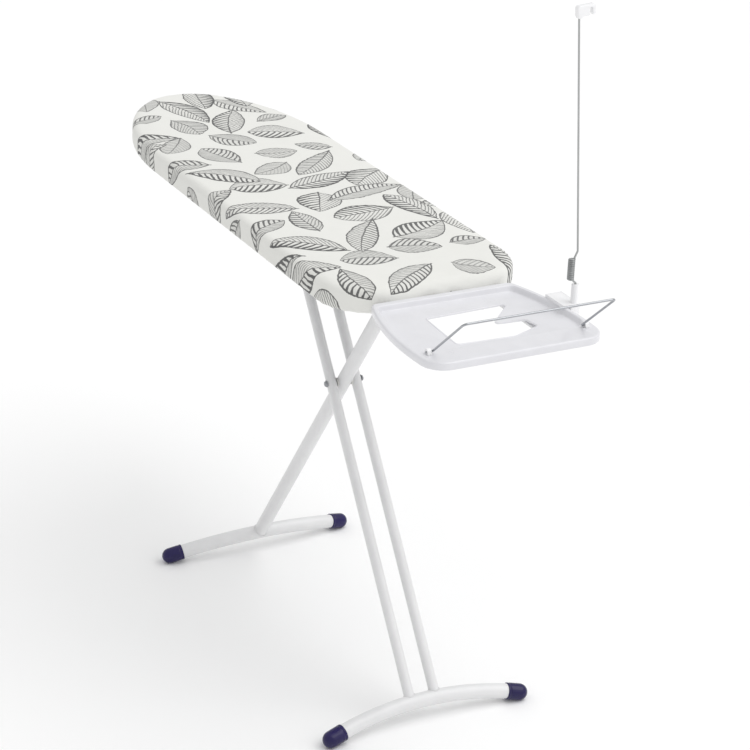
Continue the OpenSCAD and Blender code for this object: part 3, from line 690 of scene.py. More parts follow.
def make_materials(scene):
    stand, tray, wires = scene.ib_stand, scene.ib_tray, scene.ib_wires
    printed_cotton(scene.ib_cover)
    plain_cotton(scene.ib_cover)
    felt()
    surface_finish("powder_paint", tuple(stand.paint), 0.36, coat=0.25, grain=620.0, relief=0.00006,
                   mottle=0.012)
    surface_finish("tray_paint", tuple(tray.paint), 0.30, coat=0.35, grain=1100.0, relief=0.00002,
                   mottle=0.012)
    surface_finish("weld", tuple(0.95 * c for c in stand.paint), 0.45, coat=0.2, grain=500.0, relief=0.0002)
    surface_finish("cap_plastic", tuple(stand.navy), 0.24, coat=0.06, grain=1500.0, mottle=0.08, specular=0.3)
    surface_finish("white_plastic", (0.80, 0.81, 0.79), 0.38, coat=0.1, grain=1400.0, mottle=0.02)
    surface_finish("nylon", (0.74, 0.74, 0.71), 0.5, grain=1200.0, relief=0.00005)
    surface_finish("black_plastic", (0.022, 0.022, 0.024), 0.42, grain=1300.0, relief=0.00006, mottle=0.15)
    surface_finish("core_plastic", (0.36, 0.365, 0.37), 0.55, relief=0.0001)
    surface_finish("zinc", (0.58, 0.59, 0.60), 0.34, metallic=1.0, grain=700.0, mottle=0.12)
    surface_finish("rolled_steel", (0.60, 0.61, 0.62), 0.30, metallic=1.0, streak=25.0)
    surface_finish("dark_steel", (0.09, 0.09, 0.10), 0.4, metallic=0.85, relief=0.00004, mottle=0.15)
    surface_finish("bright_wire", tuple(wires.chrome), 0.16, metallic=1.0, grain=1600.0, relief=0.00001,
                   mottle=0.03)
    surface_finish("mast_wire", (0.42, 0.43, 0.43), 0.3, metallic=0.6, grain=1600.0, relief=0.00001,
                   mottle=0.03)
    surface_finish("spring_wire", tuple(wires.dark), 0.32, metallic=1.0, grain=1400.0, relief=0.00002,
                   mottle=0.1)


# ---- Cover, pad and core ----

STRETCH = 600  # points on each line or arc of the board's edge
HALF_ROUND = 1.43  # about half the way round the board's edge
TURN_STEPS = 2400  # places round the board at which the hem's folds are worked out
SPINE_ENDS = (0.16, 0.14)  # from the nose's tip and the wide end to the middle line's ends
TOP_ROWS = 9  # rings from the middle line to the top's edge
HEM_FROM = TOP_ROWS + 11  # the hem's first ring, after the top, its edge, the side and its lower rounding


def board_edge(inset, settings):
    """The board's edge drawn in by inset, from the tip of the nose round to it again."""
    nose, corner = settings.nose, settings.corner
    nose_x = nose - HALF_L
    side_x, side_y = HALF_L - corner, HALF_W - corner

    def arc(x, y, a, b, low, high):
        turn = np.radians(np.linspace(low, high, STRETCH, endpoint=False))
        return np.stack([x + a * np.cos(turn), y + b * np.sin(turn)], 1)

    def line(x0, y0, x1, y1):
        t = np.linspace(0, 1, STRETCH, endpoint=False)[:, None]
        return np.array([x0, y0]) * (1 - t) + np.array([x1, y1]) * t

    low, end, tight = HALF_W - inset, HALF_L - inset, corner - inset
    return np.vstack([
        arc(nose_x, 0, nose - inset, low, 180, 270),
        line(nose_x, -low, side_x, -low),
        arc(side_x, -side_y, tight, tight, 270, 360),
        line(end, -side_y, end, side_y),
        arc(side_x, side_y, tight, tight, 0, 90),
        line(side_x, low, nose_x, low),
        arc(nose_x, 0, nose - inset, low, 90, 180),
    ])


def evenly(settings, count):
    """Places along board_edge that are evenly spaced, as fractional indices."""
    edge = board_edge(0, settings)
    steps = np.linalg.norm(np.roll(edge, -1, 0) - edge, axis=1)
    run = np.concatenate([[0], np.cumsum(steps)])
    return np.interp(np.linspace(0, run[-1], count, endpoint=False), run, np.arange(len(run)))


def edge_at(places, inset, settings):
    edge = board_edge(inset, settings)
    closed = np.vstack([edge, edge[:1]])
    index = np.arange(len(closed))
    return np.stack([np.interp(places, index, closed[:, k]) for k in (0, 1)], 1)


def middle_line(top):
    """For each point of the top's edge, the point of the board's middle line that it starts from."""
    return np.stack([np.clip(top[:, 0], SPINE_ENDS[0] - HALF_L, HALF_L - SPINE_ENDS[1]), 0 * top[:, 1]], 1)


def at_height(xy, z):
    """Points of the board's plan at the height z, in the frame."""
    return np.column_stack([xy[:, 0] + BOARD_X, xy[:, 1], np.full(len(xy), z)])


def gathers(settings, places):
    """Round the board, for each place: the drawn-in hem's folds and their depth, 0 to 1, deepest where the
    edge curves, and the outward direction."""
    outline, top = edge_at(places, 0, settings), edge_at(places, settings.edge, settings)
    out = outline - top
    out /= np.linalg.norm(out, axis=1)[:, None]
    a, b = outline - np.roll(outline, 1, 0), np.roll(outline, -1, 0) - outline
    step = np.linalg.norm(a, axis=1)
    curve = np.abs(a[:, 0] * b[:, 1] - a[:, 1] * b[:, 0]) / (step * np.linalg.norm(b, axis=1)) / step
    # Flat where the tray's straps pass under the hem
    strap_low, strap_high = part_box("tray_strap_left")
    beside = np.abs(np.abs(outline[:, 1]) - (strap_low.y + strap_high.y) / 2)
    held = np.where((outline[:, 0] > HALF_L - 0.13) & (beside < 0.030), 0.0, 1.0)
    for _ in range(60):
        curve = (np.roll(curve, 1) + curve + np.roll(curve, -1)) / 3
        held = (np.roll(held, 1) + held + np.roll(held, -1)) / 3
    depth = (0.35 + 0.65 * np.clip(curve / 6.0, 0, 1)) * held**3
    run = np.cumsum(step)
    slow = np.sin(run / 0.113 + 0.8) + np.sin(run / 0.071 + 2.1)
    folds = 0.5 + 0.36 * np.sin(FULL_TURN * run / settings.fold + 1.1 * slow)
    folds += 0.14 * np.sin(FULL_TURN * run / (0.53 * settings.fold) + 2.0 * slow)
    return folds * depth, depth, out


def cover_rings(settings, count):
    """Loops of the cover from its middle out and under, with their places on the flat cloth."""
    places = evenly(settings, count)
    top = edge_at(places, settings.edge, settings)
    rim = edge_at(places, 0, settings)
    out = rim - top
    out /= np.linalg.norm(out, axis=1)[:, None]
    spine = middle_line(top)
    rings, flat = [], []

    def ring(xy, z, cloth):
        rings.append(at_height(xy, TOP_Z + z))
        flat.append(cloth)

    for t in np.linspace(0, 1, TOP_ROWS):
        xy = spine + (top - spine) * t
        ring(xy, settings.crown * (1 - t**3), xy)
    for a in np.radians([18, 36, 54, 72, 90]):
        xy = edge_at(places, settings.edge * (1 - math.sin(a)), settings)
        ring(xy, -settings.edge * (1 - math.cos(a)), top + out * settings.edge * a)
    roll = settings.hem_roll
    low = UNDER_Z - TOP_Z + roll
    reach = settings.edge * math.pi / 2
    side = -settings.edge - low
    for t in (0.3, 0.65, 1.0):
        ring(rim, -settings.edge - side * t, top + out * (reach + side * t))
    reach += side
    for a in np.radians([35, 65, 90]):
        xy = edge_at(places, roll * (1 - math.cos(a)), settings)
        ring(xy, low - roll * math.sin(a), top + out * (reach + roll * a))
    reach += roll * math.pi / 2
    for t in (0.25, 0.5, 0.75, 1.0):
        inset = roll + (settings.hem - roll) * t
        ring(edge_at(places, inset, settings), low - roll, top + out * (reach + inset - roll))
    return np.array(rings), np.array(flat)


def numbers(obj, name, values=None):
    """A float for each vertex, read from or written to the named attribute."""
    mesh = obj.data
    if values is not None:
        values = np.asarray(values, np.float32).ravel()
        mesh.attributes.new(name, "FLOAT", "POINT").data.foreach_set("value", values)
        return None
    found = np.empty(len(mesh.vertices), np.float32)
    mesh.attributes[name].data.foreach_get("value", found)
    return found.astype(float)


def vectors(obj, values=None):
    """The vertices' places, read or written."""
    mesh = obj.data
    if values is not None:
        mesh.vertices.foreach_set("co", np.asarray(values, float).ravel())
        mesh.update()
        return None
    found = np.empty(len(mesh.vertices) * 3)
    mesh.vertices.foreach_get("co", found)
    return found.reshape(-1, 3)


def open_sheet(name, rings, flat):
    """The cover as an open sheet of quads, with its flat cloth as the UV map."""
    count, around = rings.shape[:2]
    k = np.arange(count - 1)[:, None] * around
    i = np.arange(around)[None, :]
    j = (i + 1) % around
    quads = np.stack([k + i, k + around + i, k + around + j, k + j], -1).reshape(-1, 4)
    mesh = bpy.data.meshes.new(name)
    mesh.from_pydata(rings.reshape(-1, 3).tolist(), [], quads.tolist())
    uv = mesh.uv_layers.new(name="flat_cloth")
    uv.data.foreach_set("uv", flat.reshape(-1, 2)[quads.ravel()].astype(np.float32).ravel())
    obj = bpy.data.objects.new(name, mesh)
    bpy.context.scene.collection.objects.link(obj)
    turn = np.tile(np.linspace(0, FULL_TURN, around, endpoint=False), count)
    numbers(obj, "ring", np.repeat(np.arange(count), around))
    numbers(obj, "turn_x", np.cos(turn))
    numbers(obj, "turn_y", np.sin(turn))
    bm = bmesh.new()
    bm.from_mesh(mesh)
    bmesh.ops.remove_doubles(bm, verts=bm.verts, dist=1e-5)
    bmesh.ops.dissolve_degenerate(bm, edges=bm.edges, dist=1e-6)
    bm.to_mesh(mesh)
    bm.free()
    shade(obj, 180)
    return obj


SETTLE_FRAMES = 20
MOST_SUNK = 0.0002  # most that the settled cloth may sink into its pad


def settle(obj, pinned_from, swell):
    """Lets the cloth settle on its pad by simulation with its hem pinned. Its moves stay under `swell`,
    and it hardly sinks into the pad."""
    start = vectors(obj)
    normals = np.empty(start.size, np.float32)
    obj.data.vertex_normals.foreach_get("vector", normals)
    pins = obj.vertex_groups.new(name="hem")
    pins.add([int(i) for i in np.flatnonzero(numbers(obj, "ring") >= pinned_from)], 1.0, "REPLACE")
    cloth = obj.modifiers.new("settle", "CLOTH")
    fabric = {"quality": 6, "mass": 0.15, "tension_stiffness": 20, "compression_stiffness": 20,
              "shear_stiffness": 8, "bending_stiffness": 0.6, "shrink_min": -0.012, "use_pressure": True,
              "uniform_pressure_force": 0.9, "vertex_group_mass": "hem"}
    for name, value in fabric.items():
        setattr(cloth.settings, name, value)
    cloth.settings.effector_weights.gravity = 0
    cloth.collision_settings.use_collision = False
    cloth.point_cache.frame_start = 1
    cloth.point_cache.frame_end = SETTLE_FRAMES
    scene = bpy.context.scene
    for step in range(1, SETTLE_FRAMES + 1):
        scene.frame_set(step)
    moved = np.empty(start.size)
    obj.evaluated_get(bpy.context.evaluated_depsgraph_get()).data.vertices.foreach_get("co", moved)
    obj.modifiers.clear()
    scene.frame_set(1)
    move = moved.reshape(-1, 3) - start
    far = np.linalg.norm(move, axis=1)
    move *= (swell * np.tanh(far / swell) / np.maximum(far, 1e-9))[:, None]
    normals = normals.reshape(-1, 3)
    sunk = np.minimum((move * normals).sum(1) + MOST_SUNK, 0)
    vectors(obj, start + move - normals * sunk[:, None])
    obj.vertex_groups.clear()


def draw_in(obj, settings):
    """Gathers the hem: folds that grow from the lower side to the hem's inner edge."""
    folds, depth, out = gathers(settings, evenly(settings, TURN_STEPS))
    angle = np.mod(np.arctan2(numbers(obj, "turn_y"), numbers(obj, "turn_x")), FULL_TURN)
    turn = angle / FULL_TURN * TURN_STEPS

    def at(values):
        return np.interp(turn, np.arange(TURN_STEPS + 1), np.append(values, values[:1]))

    ring = numbers(obj, "ring")
    fold, deep = at(folds), at(depth)
    sideways = np.stack([at(out[:, 0]), at(out[:, 1])], 1)
    under = np.clip((ring - HEM_FROM + 3) / 7.0, 0, 1) ** 1.2
    side = np.clip((ring - HEM_FROM + 7) / 5.0, 0, 1) * np.clip((HEM_FROM + 2 - ring) / 3.0, 0, 1)
    inner = np.clip(ring - HEM_FROM, 0, 3) / 3.0
    shift = 0.0014 * side * (fold - 0.5 * deep) + 0.0035 * inner * (fold - 0.5 * deep)
    co = vectors(obj)
    co[:, :2] += sideways * shift[:, None]
    co[:, 2] -= settings.gather * under * fold
    vectors(obj, co)
    return turn


def make_cover(settings):
    """The printed cotton: settled on its pad, drawn in under the board and given its thickness."""
    rings, flat = cover_rings(settings, 2 * round(HALF_ROUND / settings.pitch))
    obj = open_sheet("cotton_cover", rings, flat)
    settle(obj, HEM_FROM - 3, settings.swell)
    smooth = obj.modifiers.new("smooth", "SUBSURF")
    smooth.levels = smooth.render_levels = 1
    smooth.boundary_smooth = "PRESERVE_CORNERS"
    baked(obj)
    turn = draw_in(obj, settings)
    edge = np.flatnonzero(numbers(obj, "ring") > len(rings) - 1.25)
    hem = vectors(obj)[edge[np.argsort(turn[edge])]]
    solid = obj.modifiers.new("cloth", "SOLIDIFY")
    solid.thickness = settings.cloth
    solid.offset = -1
    baked(obj)
    for name in ("ring", "turn_x", "turn_y"):
        obj.data.attributes.remove(obj.data.attributes[name])
    clean(obj, 180)
    mark_leaves(obj)
    placed(obj, "board", "printed_cotton", "cover_cotton", "cover")
    seam = make_hem_seam(hem)


def make_hem_seam(points):
    """The rolled binding along the hem's inner edge, with its row of stitches beside it."""
    along = np.roll(points, -1, 0) - np.roll(points, 1, 0)
    along /= np.linalg.norm(along, axis=1)[:, None]
    across = np.cross((0, 0, 1), along)
    across /= np.linalg.norm(across, axis=1)[:, None]
    up = np.cross(along, across)
    loops = [points + 0.0021 * (math.cos(t) * across + 0.8 * math.sin(t) * up)
             for t in np.linspace(0, FULL_TURN, 8, endpoint=False)]
    binding = skin("hem_binding", loops, cyclic=True, smooth=60)
    placed(binding, "board", "hem_cotton", "cover_cotton")
    row = stitch_row("hem_stitches", points - across * 0.0055 - up * 0.0009, 0.0045)
    placed(row, "board", "hem_cotton", "cover_cotton")
    return [binding, row]


# ---- Repeated pieces, by geometry nodes ----


def new_tree(name, inputs):
    tree = bpy.data.node_groups.new(name, "GeometryNodeTree")
    tree.interface.new_socket("Geometry", in_out="INPUT", socket_type="NodeSocketGeometry")
    for label, kind in inputs:
        tree.interface.new_socket(label, in_out="INPUT", socket_type=kind)
    tree.interface.new_socket("Geometry", in_out="OUTPUT", socket_type="NodeSocketGeometry")
    w = Wiring(tree)
    return tree, w, w.node("NodeGroupInput"), w.node("NodeGroupOutput")


def ended(w, result, geometry, material):
    """Every tree ends in plain geometry with its material set."""
    real = w.fed("GeometryNodeRealizeInstances", {"Geometry": geometry})
    paint = w.fed("GeometryNodeSetMaterial", {"Geometry": real.outputs[0], "Material": material})
    w.put(result.inputs[0], paint.outputs[0])


def spread(w, points, instance, **change):
    """The instance at each of the points, with a Rotation or Scale."""
    inputs = {"Points": points, "Instance": instance, **change}
    return w.fed("GeometryNodeInstanceOnPoints", inputs).outputs[0]


def grown(name, tree, verts, edges, **values):
    """A plain mesh grown by a node tree from points and edges; values are the tree's named inputs."""
    mesh = bpy.data.meshes.new(name)
    mesh.from_pydata([tuple(map(float, v)) for v in verts], edges, [])
    obj = bpy.data.objects.new(name, mesh)
    bpy.context.scene.collection.objects.link(obj)
    grow = obj.modifiers.new("grow", "NODES")
    grow.node_group = tree
    sockets = {i.name: i.identifier for i in tree.interface.items_tree if i.in_out == "INPUT"}
    for label, value in values.items():
        grow[sockets[label.replace("_", " ").capitalize()]] = value
    baked(obj)
    return obj


def screw_tree():
    """A pan-head screw with a cross recess at each point, its shank towards +Z."""
    tree, w, given, result = new_tree("screws", [
        ("Head radius", "NodeSocketFloat"), ("Head height", "NodeSocketFloat"),
        ("Shank radius", "NodeSocketFloat"), ("Shank length", "NodeSocketFloat"),
        ("Material", "NodeSocketMaterial")])
    radius, height = given.outputs["Head radius"], given.outputs["Head height"]
    length = given.outputs["Shank length"]
    # The head is a sphere flattened to its height
    dome = w.fed("GeometryNodeMeshUVSphere", {"Segments": 20, "Rings": 12, "Radius": radius})
    head = w.moved(dome.outputs["Mesh"], Scale=w.vector(1.0, 1.0, w.div(height, radius)))
    recess = w.fed("GeometryNodeMeshBoolean", {"Mesh 1": head}, operation="DIFFERENCE", solver="EXACT")
    for wide, deep in ((1.15, 0.24), (0.24, 1.15)):
        span = w.vector(w.mul(radius, wide), w.mul(radius, deep), w.mul(height, 1.1))
        bar = w.fed("GeometryNodeMeshCube", {"Size": span})
        lowered = w.moved(bar.outputs["Mesh"], Translation=w.vector(z=w.mul(height, -1.0)))
        w.put(recess.inputs["Mesh 2"], lowered)
    shank = w.fed("GeometryNodeMeshCylinder",
                  {"Vertices": 12, "Radius": given.outputs["Shank radius"], "Depth": length})
    raised = w.moved(shank.outputs["Mesh"], Translation=w.vector(z=w.mul(length, 0.5)))
    screw = w.node("GeometryNodeJoinGeometry")
    for part in (recess.outputs["Mesh"], raised):
        w.put(screw.inputs[0], part)
    ended(w, result, spread(w, given.outputs["Geometry"], screw.outputs[0]), given.outputs["Material"])
    return tree


def coil_tree():
    """A close-wound spring standing on each start point."""
    tree, w, given, result = new_tree("coils", [
        ("Turns", "NodeSocketFloat"), ("Radius", "NodeSocketFloat"), ("Height", "NodeSocketFloat"),
        ("Wire radius", "NodeSocketFloat"), ("Start angle", "NodeSocketFloat"),
        ("Material", "NodeSocketMaterial")])
    radius = given.outputs["Radius"]
    helix = w.fed("GeometryNodeCurveSpiral", {
        "Resolution": 40, "Rotations": given.outputs["Turns"], "Start Radius": radius, "End Radius": radius,
        "Height": given.outputs["Height"]})
    section = w.fed("GeometryNodeCurvePrimitiveCircle",
                    {"Resolution": 12, "Radius": given.outputs["Wire radius"]})
    solid = w.fed("GeometryNodeCurveToMesh", {
        "Curve": helix.outputs[0], "Profile Curve": section.outputs[0], "Fill Caps": True})
    aligned = w.moved(solid.outputs[0], Rotation=w.vector(z=given.outputs["Start angle"]))
    ended(w, result, spread(w, given.outputs["Geometry"], aligned), given.outputs["Material"])
    return tree


def bead_tree():
    """A rippled weld bead along a line of edges."""
    tree, w, given, result = new_tree("weld_beads", [
        ("Radius", "NodeSocketFloat"), ("Ripple", "NodeSocketFloat"), ("Material", "NodeSocketMaterial")])
    ripple = given.outputs["Ripple"]
    line = w.fed("GeometryNodeMeshToCurve", {"Mesh": given.outputs["Geometry"]})
    fine = w.fed("GeometryNodeResampleCurve", {"Curve": line.outputs[0], "Length": w.mul(ripple, 0.2)},
                 mode="LENGTH")
    run = w.node("GeometryNodeSplineParameter").outputs["Length"]
    wave = w.maths("ABSOLUTE", w.maths("SINE", w.mul(w.div(run, ripple), math.pi)))
    thick = w.mul(given.outputs["Radius"], w.add(0.86, w.mul(wave, 0.14)))
    sized = w.fed("GeometryNodeSetCurveRadius", {"Curve": fine.outputs[0], "Radius": thick})
    section = w.fed("GeometryNodeCurvePrimitiveCircle", {"Resolution": 8, "Radius": 1.0})
    solid = w.fed("GeometryNodeCurveToMesh", {
        "Curve": sized.outputs[0], "Profile Curve": section.outputs[0], "Scale": thick})
    ended(w, result, solid.outputs[0], given.outputs["Material"])
    return tree


def stitch_tree():
    """A row of short stitches along a line of edges."""
    tree, w, given, result = new_tree("stitches", [
        ("Pitch", "NodeSocketFloat"), ("Thread", "NodeSocketFloat"), ("Material", "NodeSocketMaterial")])
    pitch, thread = given.outputs["Pitch"], given.outputs["Thread"]
    line = w.fed("GeometryNodeMeshToCurve", {"Mesh": given.outputs["Geometry"]})
    spots = w.fed("GeometryNodeCurveToPoints", {"Curve": line.outputs[0], "Length": pitch}, mode="LENGTH")
    grain = w.fed("GeometryNodeMeshUVSphere", {"Segments": 6, "Rings": 4, "Radius": thread})
    stitches = spread(w, spots.outputs["Points"], grain.outputs["Mesh"], Rotation=spots.outputs["Rotation"],
                      Scale=w.vector(1.0, 1.0, w.mul(w.div(pitch, thread), 0.36)))
    ended(w, result, stitches, given.outputs["Material"])
    return tree


def tree_named(name, maker):
    return bpy.data.node_groups.get(name) or maker()


def stitch_row(name, points, pitch):
    edges = [(i, (i + 1) % len(points)) for i in range(len(points))]
    return grown(name, tree_named("stitches", stitch_tree), points, edges,
                 pitch=pitch, thread=0.0005, material=bpy.data.materials["hem_cotton"])


SCREW_APART = 0.009  # points nearer to each other than this belong to one screw
HEAD_HEIGHT = 0.0022
HEAD_RADIUS = 0.0036
SHANK_RADIUS = 0.002


def screw_spots(node):
    """The middles of a CAD node's screws at their lowest face, and that face's height."""
    mesh = frame["nodes"][node].data
    low = min(v.co.z for v in mesh.vertices)
    groups = []
    for vertex in mesh.vertices:
        if vertex.co.z >= low + 1e-4:
            continue
        near = [group for group in groups if (group[0] - vertex.co).length < SCREW_APART]
        if near:
            near[0].append(vertex.co.copy())
        else:
            groups.append([vertex.co.copy()])
    return [tuple(sum(co[k] for co in group) / len(group) for k in (0, 1)) for group in groups], low


def make_screws():
    """One pan-head screw on each shank of the CAD's screws."""
    for node in ("rail_screws", "hinge_bracket_screws", "tray_strap_screws", "tray_screws"):
        low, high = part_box(node)
        spots, face = screw_spots(node)
        obj = grown(node + "_shown", tree_named("screws", screw_tree),
                    [(x, y, face + HEAD_HEIGHT) for x, y in spots], [],
                    head_radius=HEAD_RADIUS, head_height=HEAD_HEIGHT, shank_radius=SHANK_RADIUS,
                    shank_length=high.z - low.z - HEAD_HEIGHT, material=bpy.data.materials["zinc"])
        shade(obj, 40)
        placed(obj, "board", "zinc", "zinc_steel", node)


# ---- The remaining pieces ----


def make_underlay(settings):
    """The felt pad between the core and the cover, rounded at its edge."""
    low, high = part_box("underlay_pad")
    places = evenly(settings, 360)
    inner = settings.cloth + 0.0012
    thick = high.z - low.z
    top = edge_at(places, settings.edge, settings)
    spine = middle_line(top)
    rings = [at_height(spine + (top - spine) * (0.02 + 0.98 * t), high.z - 0.0002)
             for t in np.linspace(0, 1, 12)]
    for a in np.radians([15, 35, 55, 75]):
        inset = inner + (settings.edge - inner) * (1 - math.sin(a)) + 0.002
        rings.append(at_height(edge_at(places, inset, settings), high.z - thick * (1 - math.cos(a))))
    rings.append(at_height(edge_at(places, 0.0055, settings), low.z))
    obj = skin("felt_underlay", rings, smooth=60)
    placed(obj, "board", "needled_felt", "pad_felt", "underlay_pad")


def make_core():
    finish_node("board_core", "core_plastic")
    eased("board", "powder_paint", "white_steel", 0.0005,
          ("rail_left", "rail_right", "leg_hinge_bracket", "tray_strap_left", "tray_strap_right"))
    eased("board", "black_plastic", "black_plastic", 0.0008, ("rail_stops",))
    eased("board", "zinc", "zinc_steel", 0.0006, ("leg_hinge_pin",))


def tray_outline(x0, x1, near, far, inset, settings):
    """The tray's outline from x0 to x1, drawn in by inset: corner arcs joined by the bowed sides."""
    bow = settings.bow
    side_x = TRAY_LOW.x + settings.widest * (TRAY_HIGH.x - TRAY_LOW.x)
    cy = TRAY_HIGH.y - bow

    def corner(r, x):
        return np.array([x, cy + math.sqrt((bow - r) ** 2 - (x - side_x) ** 2)])

    c0, c1 = corner(near, x0 + near), corner(far, x1 - far)
    a0 = math.atan2(c0[1] - cy, c0[0] - side_x)
    a1 = math.atan2(c1[1] - cy, c1[0] - side_x)

    def arc(centre, r, start, end, n):
        turn = np.linspace(start, end, n)[:, None]
        return centre + r * np.hstack([np.cos(turn), np.sin(turn)])

    half = np.vstack([arc(c1, far - inset, 0, a1, 16),
                      arc(np.array([side_x, cy]), bow - inset, a1, a0, 40)[1:-1],
                      arc(c0, near - inset, a0, math.pi, 16)])
    return np.vstack([half, half[::-1] * [1, -1]])


def dense(outline, pitch):
    """A closed outline resampled at an even pitch."""
    closed = np.vstack([outline, outline[:1]])
    run = np.concatenate([[0], np.cumsum(np.linalg.norm(np.diff(closed, axis=0), axis=1))])
    at = np.linspace(0, run[-1], round(run[-1] / pitch), endpoint=False)
    return np.stack([np.interp(at, run, closed[:, k]) for k in (0, 1)], 1)


def polar(outline, centre):
    """The outline's angles about centre, in order, and its points in that order."""
    turn = np.arctan2(outline[:, 1] - centre[1], outline[:, 0] - centre[0])
    order = np.argsort(turn)
    return turn[order], outline[order]


# The vent's corners, in millimetres from the middle of the tray's edge beside the board
VENT = ((74.5, -70), (191.5, -75), (197.5, 32), (173.5, 92), (141.5, 86), (137.5, 24), (67.5, 94))
VENT_MIDDLE = (150, -20)
VENT_CORNER = 0.006
RIM_ROUND = 0.0042
WELL_LIP = 0.0012  # how far the well's wall starts outside the rim's inner edge
LIP_BEAD = ((0.0036, -0.0001), (0.0028, 0.0006), (0.0020, 0.0009), (0.0010, 0.0009), (0.0003, 0.0005))


def make_tray(settings):
    """The tray: one closed skin round its rim, well and vent, with a boss for each screw."""
    x0, x1 = TRAY_LOW.x, TRAY_HIGH.x
    rest_x = x1 - settings.shelf
    centre = np.array([x0 + VENT_MIDDLE[0] / 1000, VENT_MIDDLE[1] / 1000])
    corners = [np.array([x0 + x / 1000, y / 1000, 0]) for x, y in VENT]
    start = (corners[0] + corners[-1]) / 2
    ring = bent([start, *corners, start], VENT_CORNER, 6)[:-1, :2]

    def outer(inset):
        return tray_outline(x0, x1, settings.near, settings.far, inset, settings)

    def inner(inset):
        return tray_outline(x0 + 0.006, rest_x + 0.004, settings.near + 0.006, settings.far,
                            settings.rim + inset, settings)

    # Loops are taken at shared angles about the vent's middle, close together where any outline turns
    angles = np.concatenate([polar(dense(ring, 0.0012), centre)[0][::2],
                             polar(dense(outer(0), 0.003), centre)[0]])
    angles = np.sort(angles)
    angles = angles[np.concatenate([[True], np.diff(angles) > 0.002])]

    def seen(outline):
        turn, points = polar(dense(outline, 0.0006), centre)
        turn = np.concatenate([turn[-1:] - FULL_TURN, turn, turn[:1] + FULL_TURN])
        points = np.vstack([points[-1:], points, points[:1]])
        return np.stack([np.interp(angles, turn, points[:, k]) for k in (0, 1)], 1)

    hole = seen(ring)
    radial = hole - centre
    radial /= np.linalg.norm(radial, axis=1)[:, None]
    loops = []

    def loop(xy, z):
        loops.append(np.column_stack([xy, np.full(len(xy), RIM_Z + z)]))

    wall, well, skirt = settings.wall, settings.well, settings.skirt
    loop(seen(outer(wall)), -skirt)
    loop(seen(outer(0.0008)), -skirt)
    loop(seen(outer(0.0002)), -skirt + 0.0006)
    for z in (-skirt + 0.0016, -RIM_ROUND):
        loop(seen(outer(0)), z)
    for a in np.radians([20, 40, 60, 75, 90]):
        loop(seen(outer(RIM_ROUND * (1 - math.cos(a)))), -RIM_ROUND * (1 - math.sin(a)))
    for t in (0.35, 0.7):
        loop(seen(outer(RIM_ROUND)) * (1 - t) + seen(inner(-WELL_LIP)) * t, 0)
    slope = [(t, -well * t * t * t * (10 - 15 * t + 6 * t * t)) for t in np.linspace(0, 1, 11)]
    for t, z in slope:
        loop(seen(inner(settings.slope * t - WELL_LIP)), z)
    floor, lip = seen(inner(settings.slope - WELL_LIP)), hole + radial * 0.0045
    for t in (0.12, 0.3, 0.5, 0.7, 0.88, 1.0):
        loop(floor * (1 - t) + lip * t, -well)
    for out, z in LIP_BEAD:
        loop(hole + radial * out, -well + z)
    loop(hole, -well)
    loop(hole, -well - wall + 0.0004)
    loop(hole + radial * 0.0006, -well - wall)
    for t in (1.0, 0.6, 0.2, 0.0):
        loop(seen(inner(settings.slope - WELL_LIP - wall)) * (1 - t) + (lip + radial * 0.001) * t,
             -well - wall)
    for t, z in slope[::-1][1:]:
        loop(seen(inner(settings.slope * t - WELL_LIP - wall)), z - wall)
    loop(seen(outer(wall + 0.0022)), -wall)
    loop(seen(outer(wall + 0.0006)), -wall - 0.0006)
    loop(seen(outer(wall)), -wall - 0.0022)
    dish = skin("tray_dish", loops, cyclic=True, smooth=50)
    tall = RIM_Z - well - 0.0012 - UNDER_Z
    profile = [(0, 0.0021), (0, 0.0074), (0.0006, 0.008), (tall, 0.0086), (tall, 0.0021)]
    bosses = [turned("boss", profile, (x, y, UNDER_Z), (0, 0, 1)) for x, y in screw_spots("tray_screws")[0]]
    tray = joined("iron_tray_shown", [dish, *bosses])
    shade(tray, 50)
    placed(tray, "board", "tray_paint", "white_steel", "iron_tray")


def make_rest(settings):
    """The wire rest and its clips on the rim."""
    hinge = PIVOTS["rest_fold"]
    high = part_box("iron_rest_wire")[1]
    tilt = math.atan2(high.z - settings.rest / 2 - hinge[2], high.x - settings.rest / 2 - hinge[0])
    out = np.array([math.cos(tilt), 0, math.sin(tilt)])
    end_y, arm_y = high.y, settings.width / 2 - settings.rest
    corners = []
    for side in (1, -1):
        pair = [hinge + SIDEWAYS * side * end_y, hinge + SIDEWAYS * side * arm_y,
                hinge + out * settings.arm + SIDEWAYS * side * arm_y]
        corners += pair if side == 1 else pair[::-1]
    path = [corners[0]]
    for i, bend in ((1, 0.0042), (2, 0.008), (3, 0.008), (4, 0.0042)):
        path.extend(bent(corners[i - 1:i + 2], bend, 8)[1:-1])
    path.append(corners[5])
    wire = sweep("rest_wire", path, settings.rest / 2, 16)
    placed(wire, "wire_rest", "bright_wire", "chrome_wire", "iron_rest_wire")
    eased("board", "white_plastic", "white_plastic", 0.0008, ("rest_clip_left", "rest_clip_right"), 3)


# The cord clip's outline in millimetres from the mast's tip: across the board, up the mast
CLIP_OUTLINE = ((-5, -6), (-3.4, -11), (3.4, -11), (5, -8), (18, -8), (18, 3.4), (19.6, 5), (22.4, 5),
                (24, 3.4), (24, -8), (27, -8), (29, -6), (29, 7.5), (26.5, 10), (-2, 10), (-5, 7))


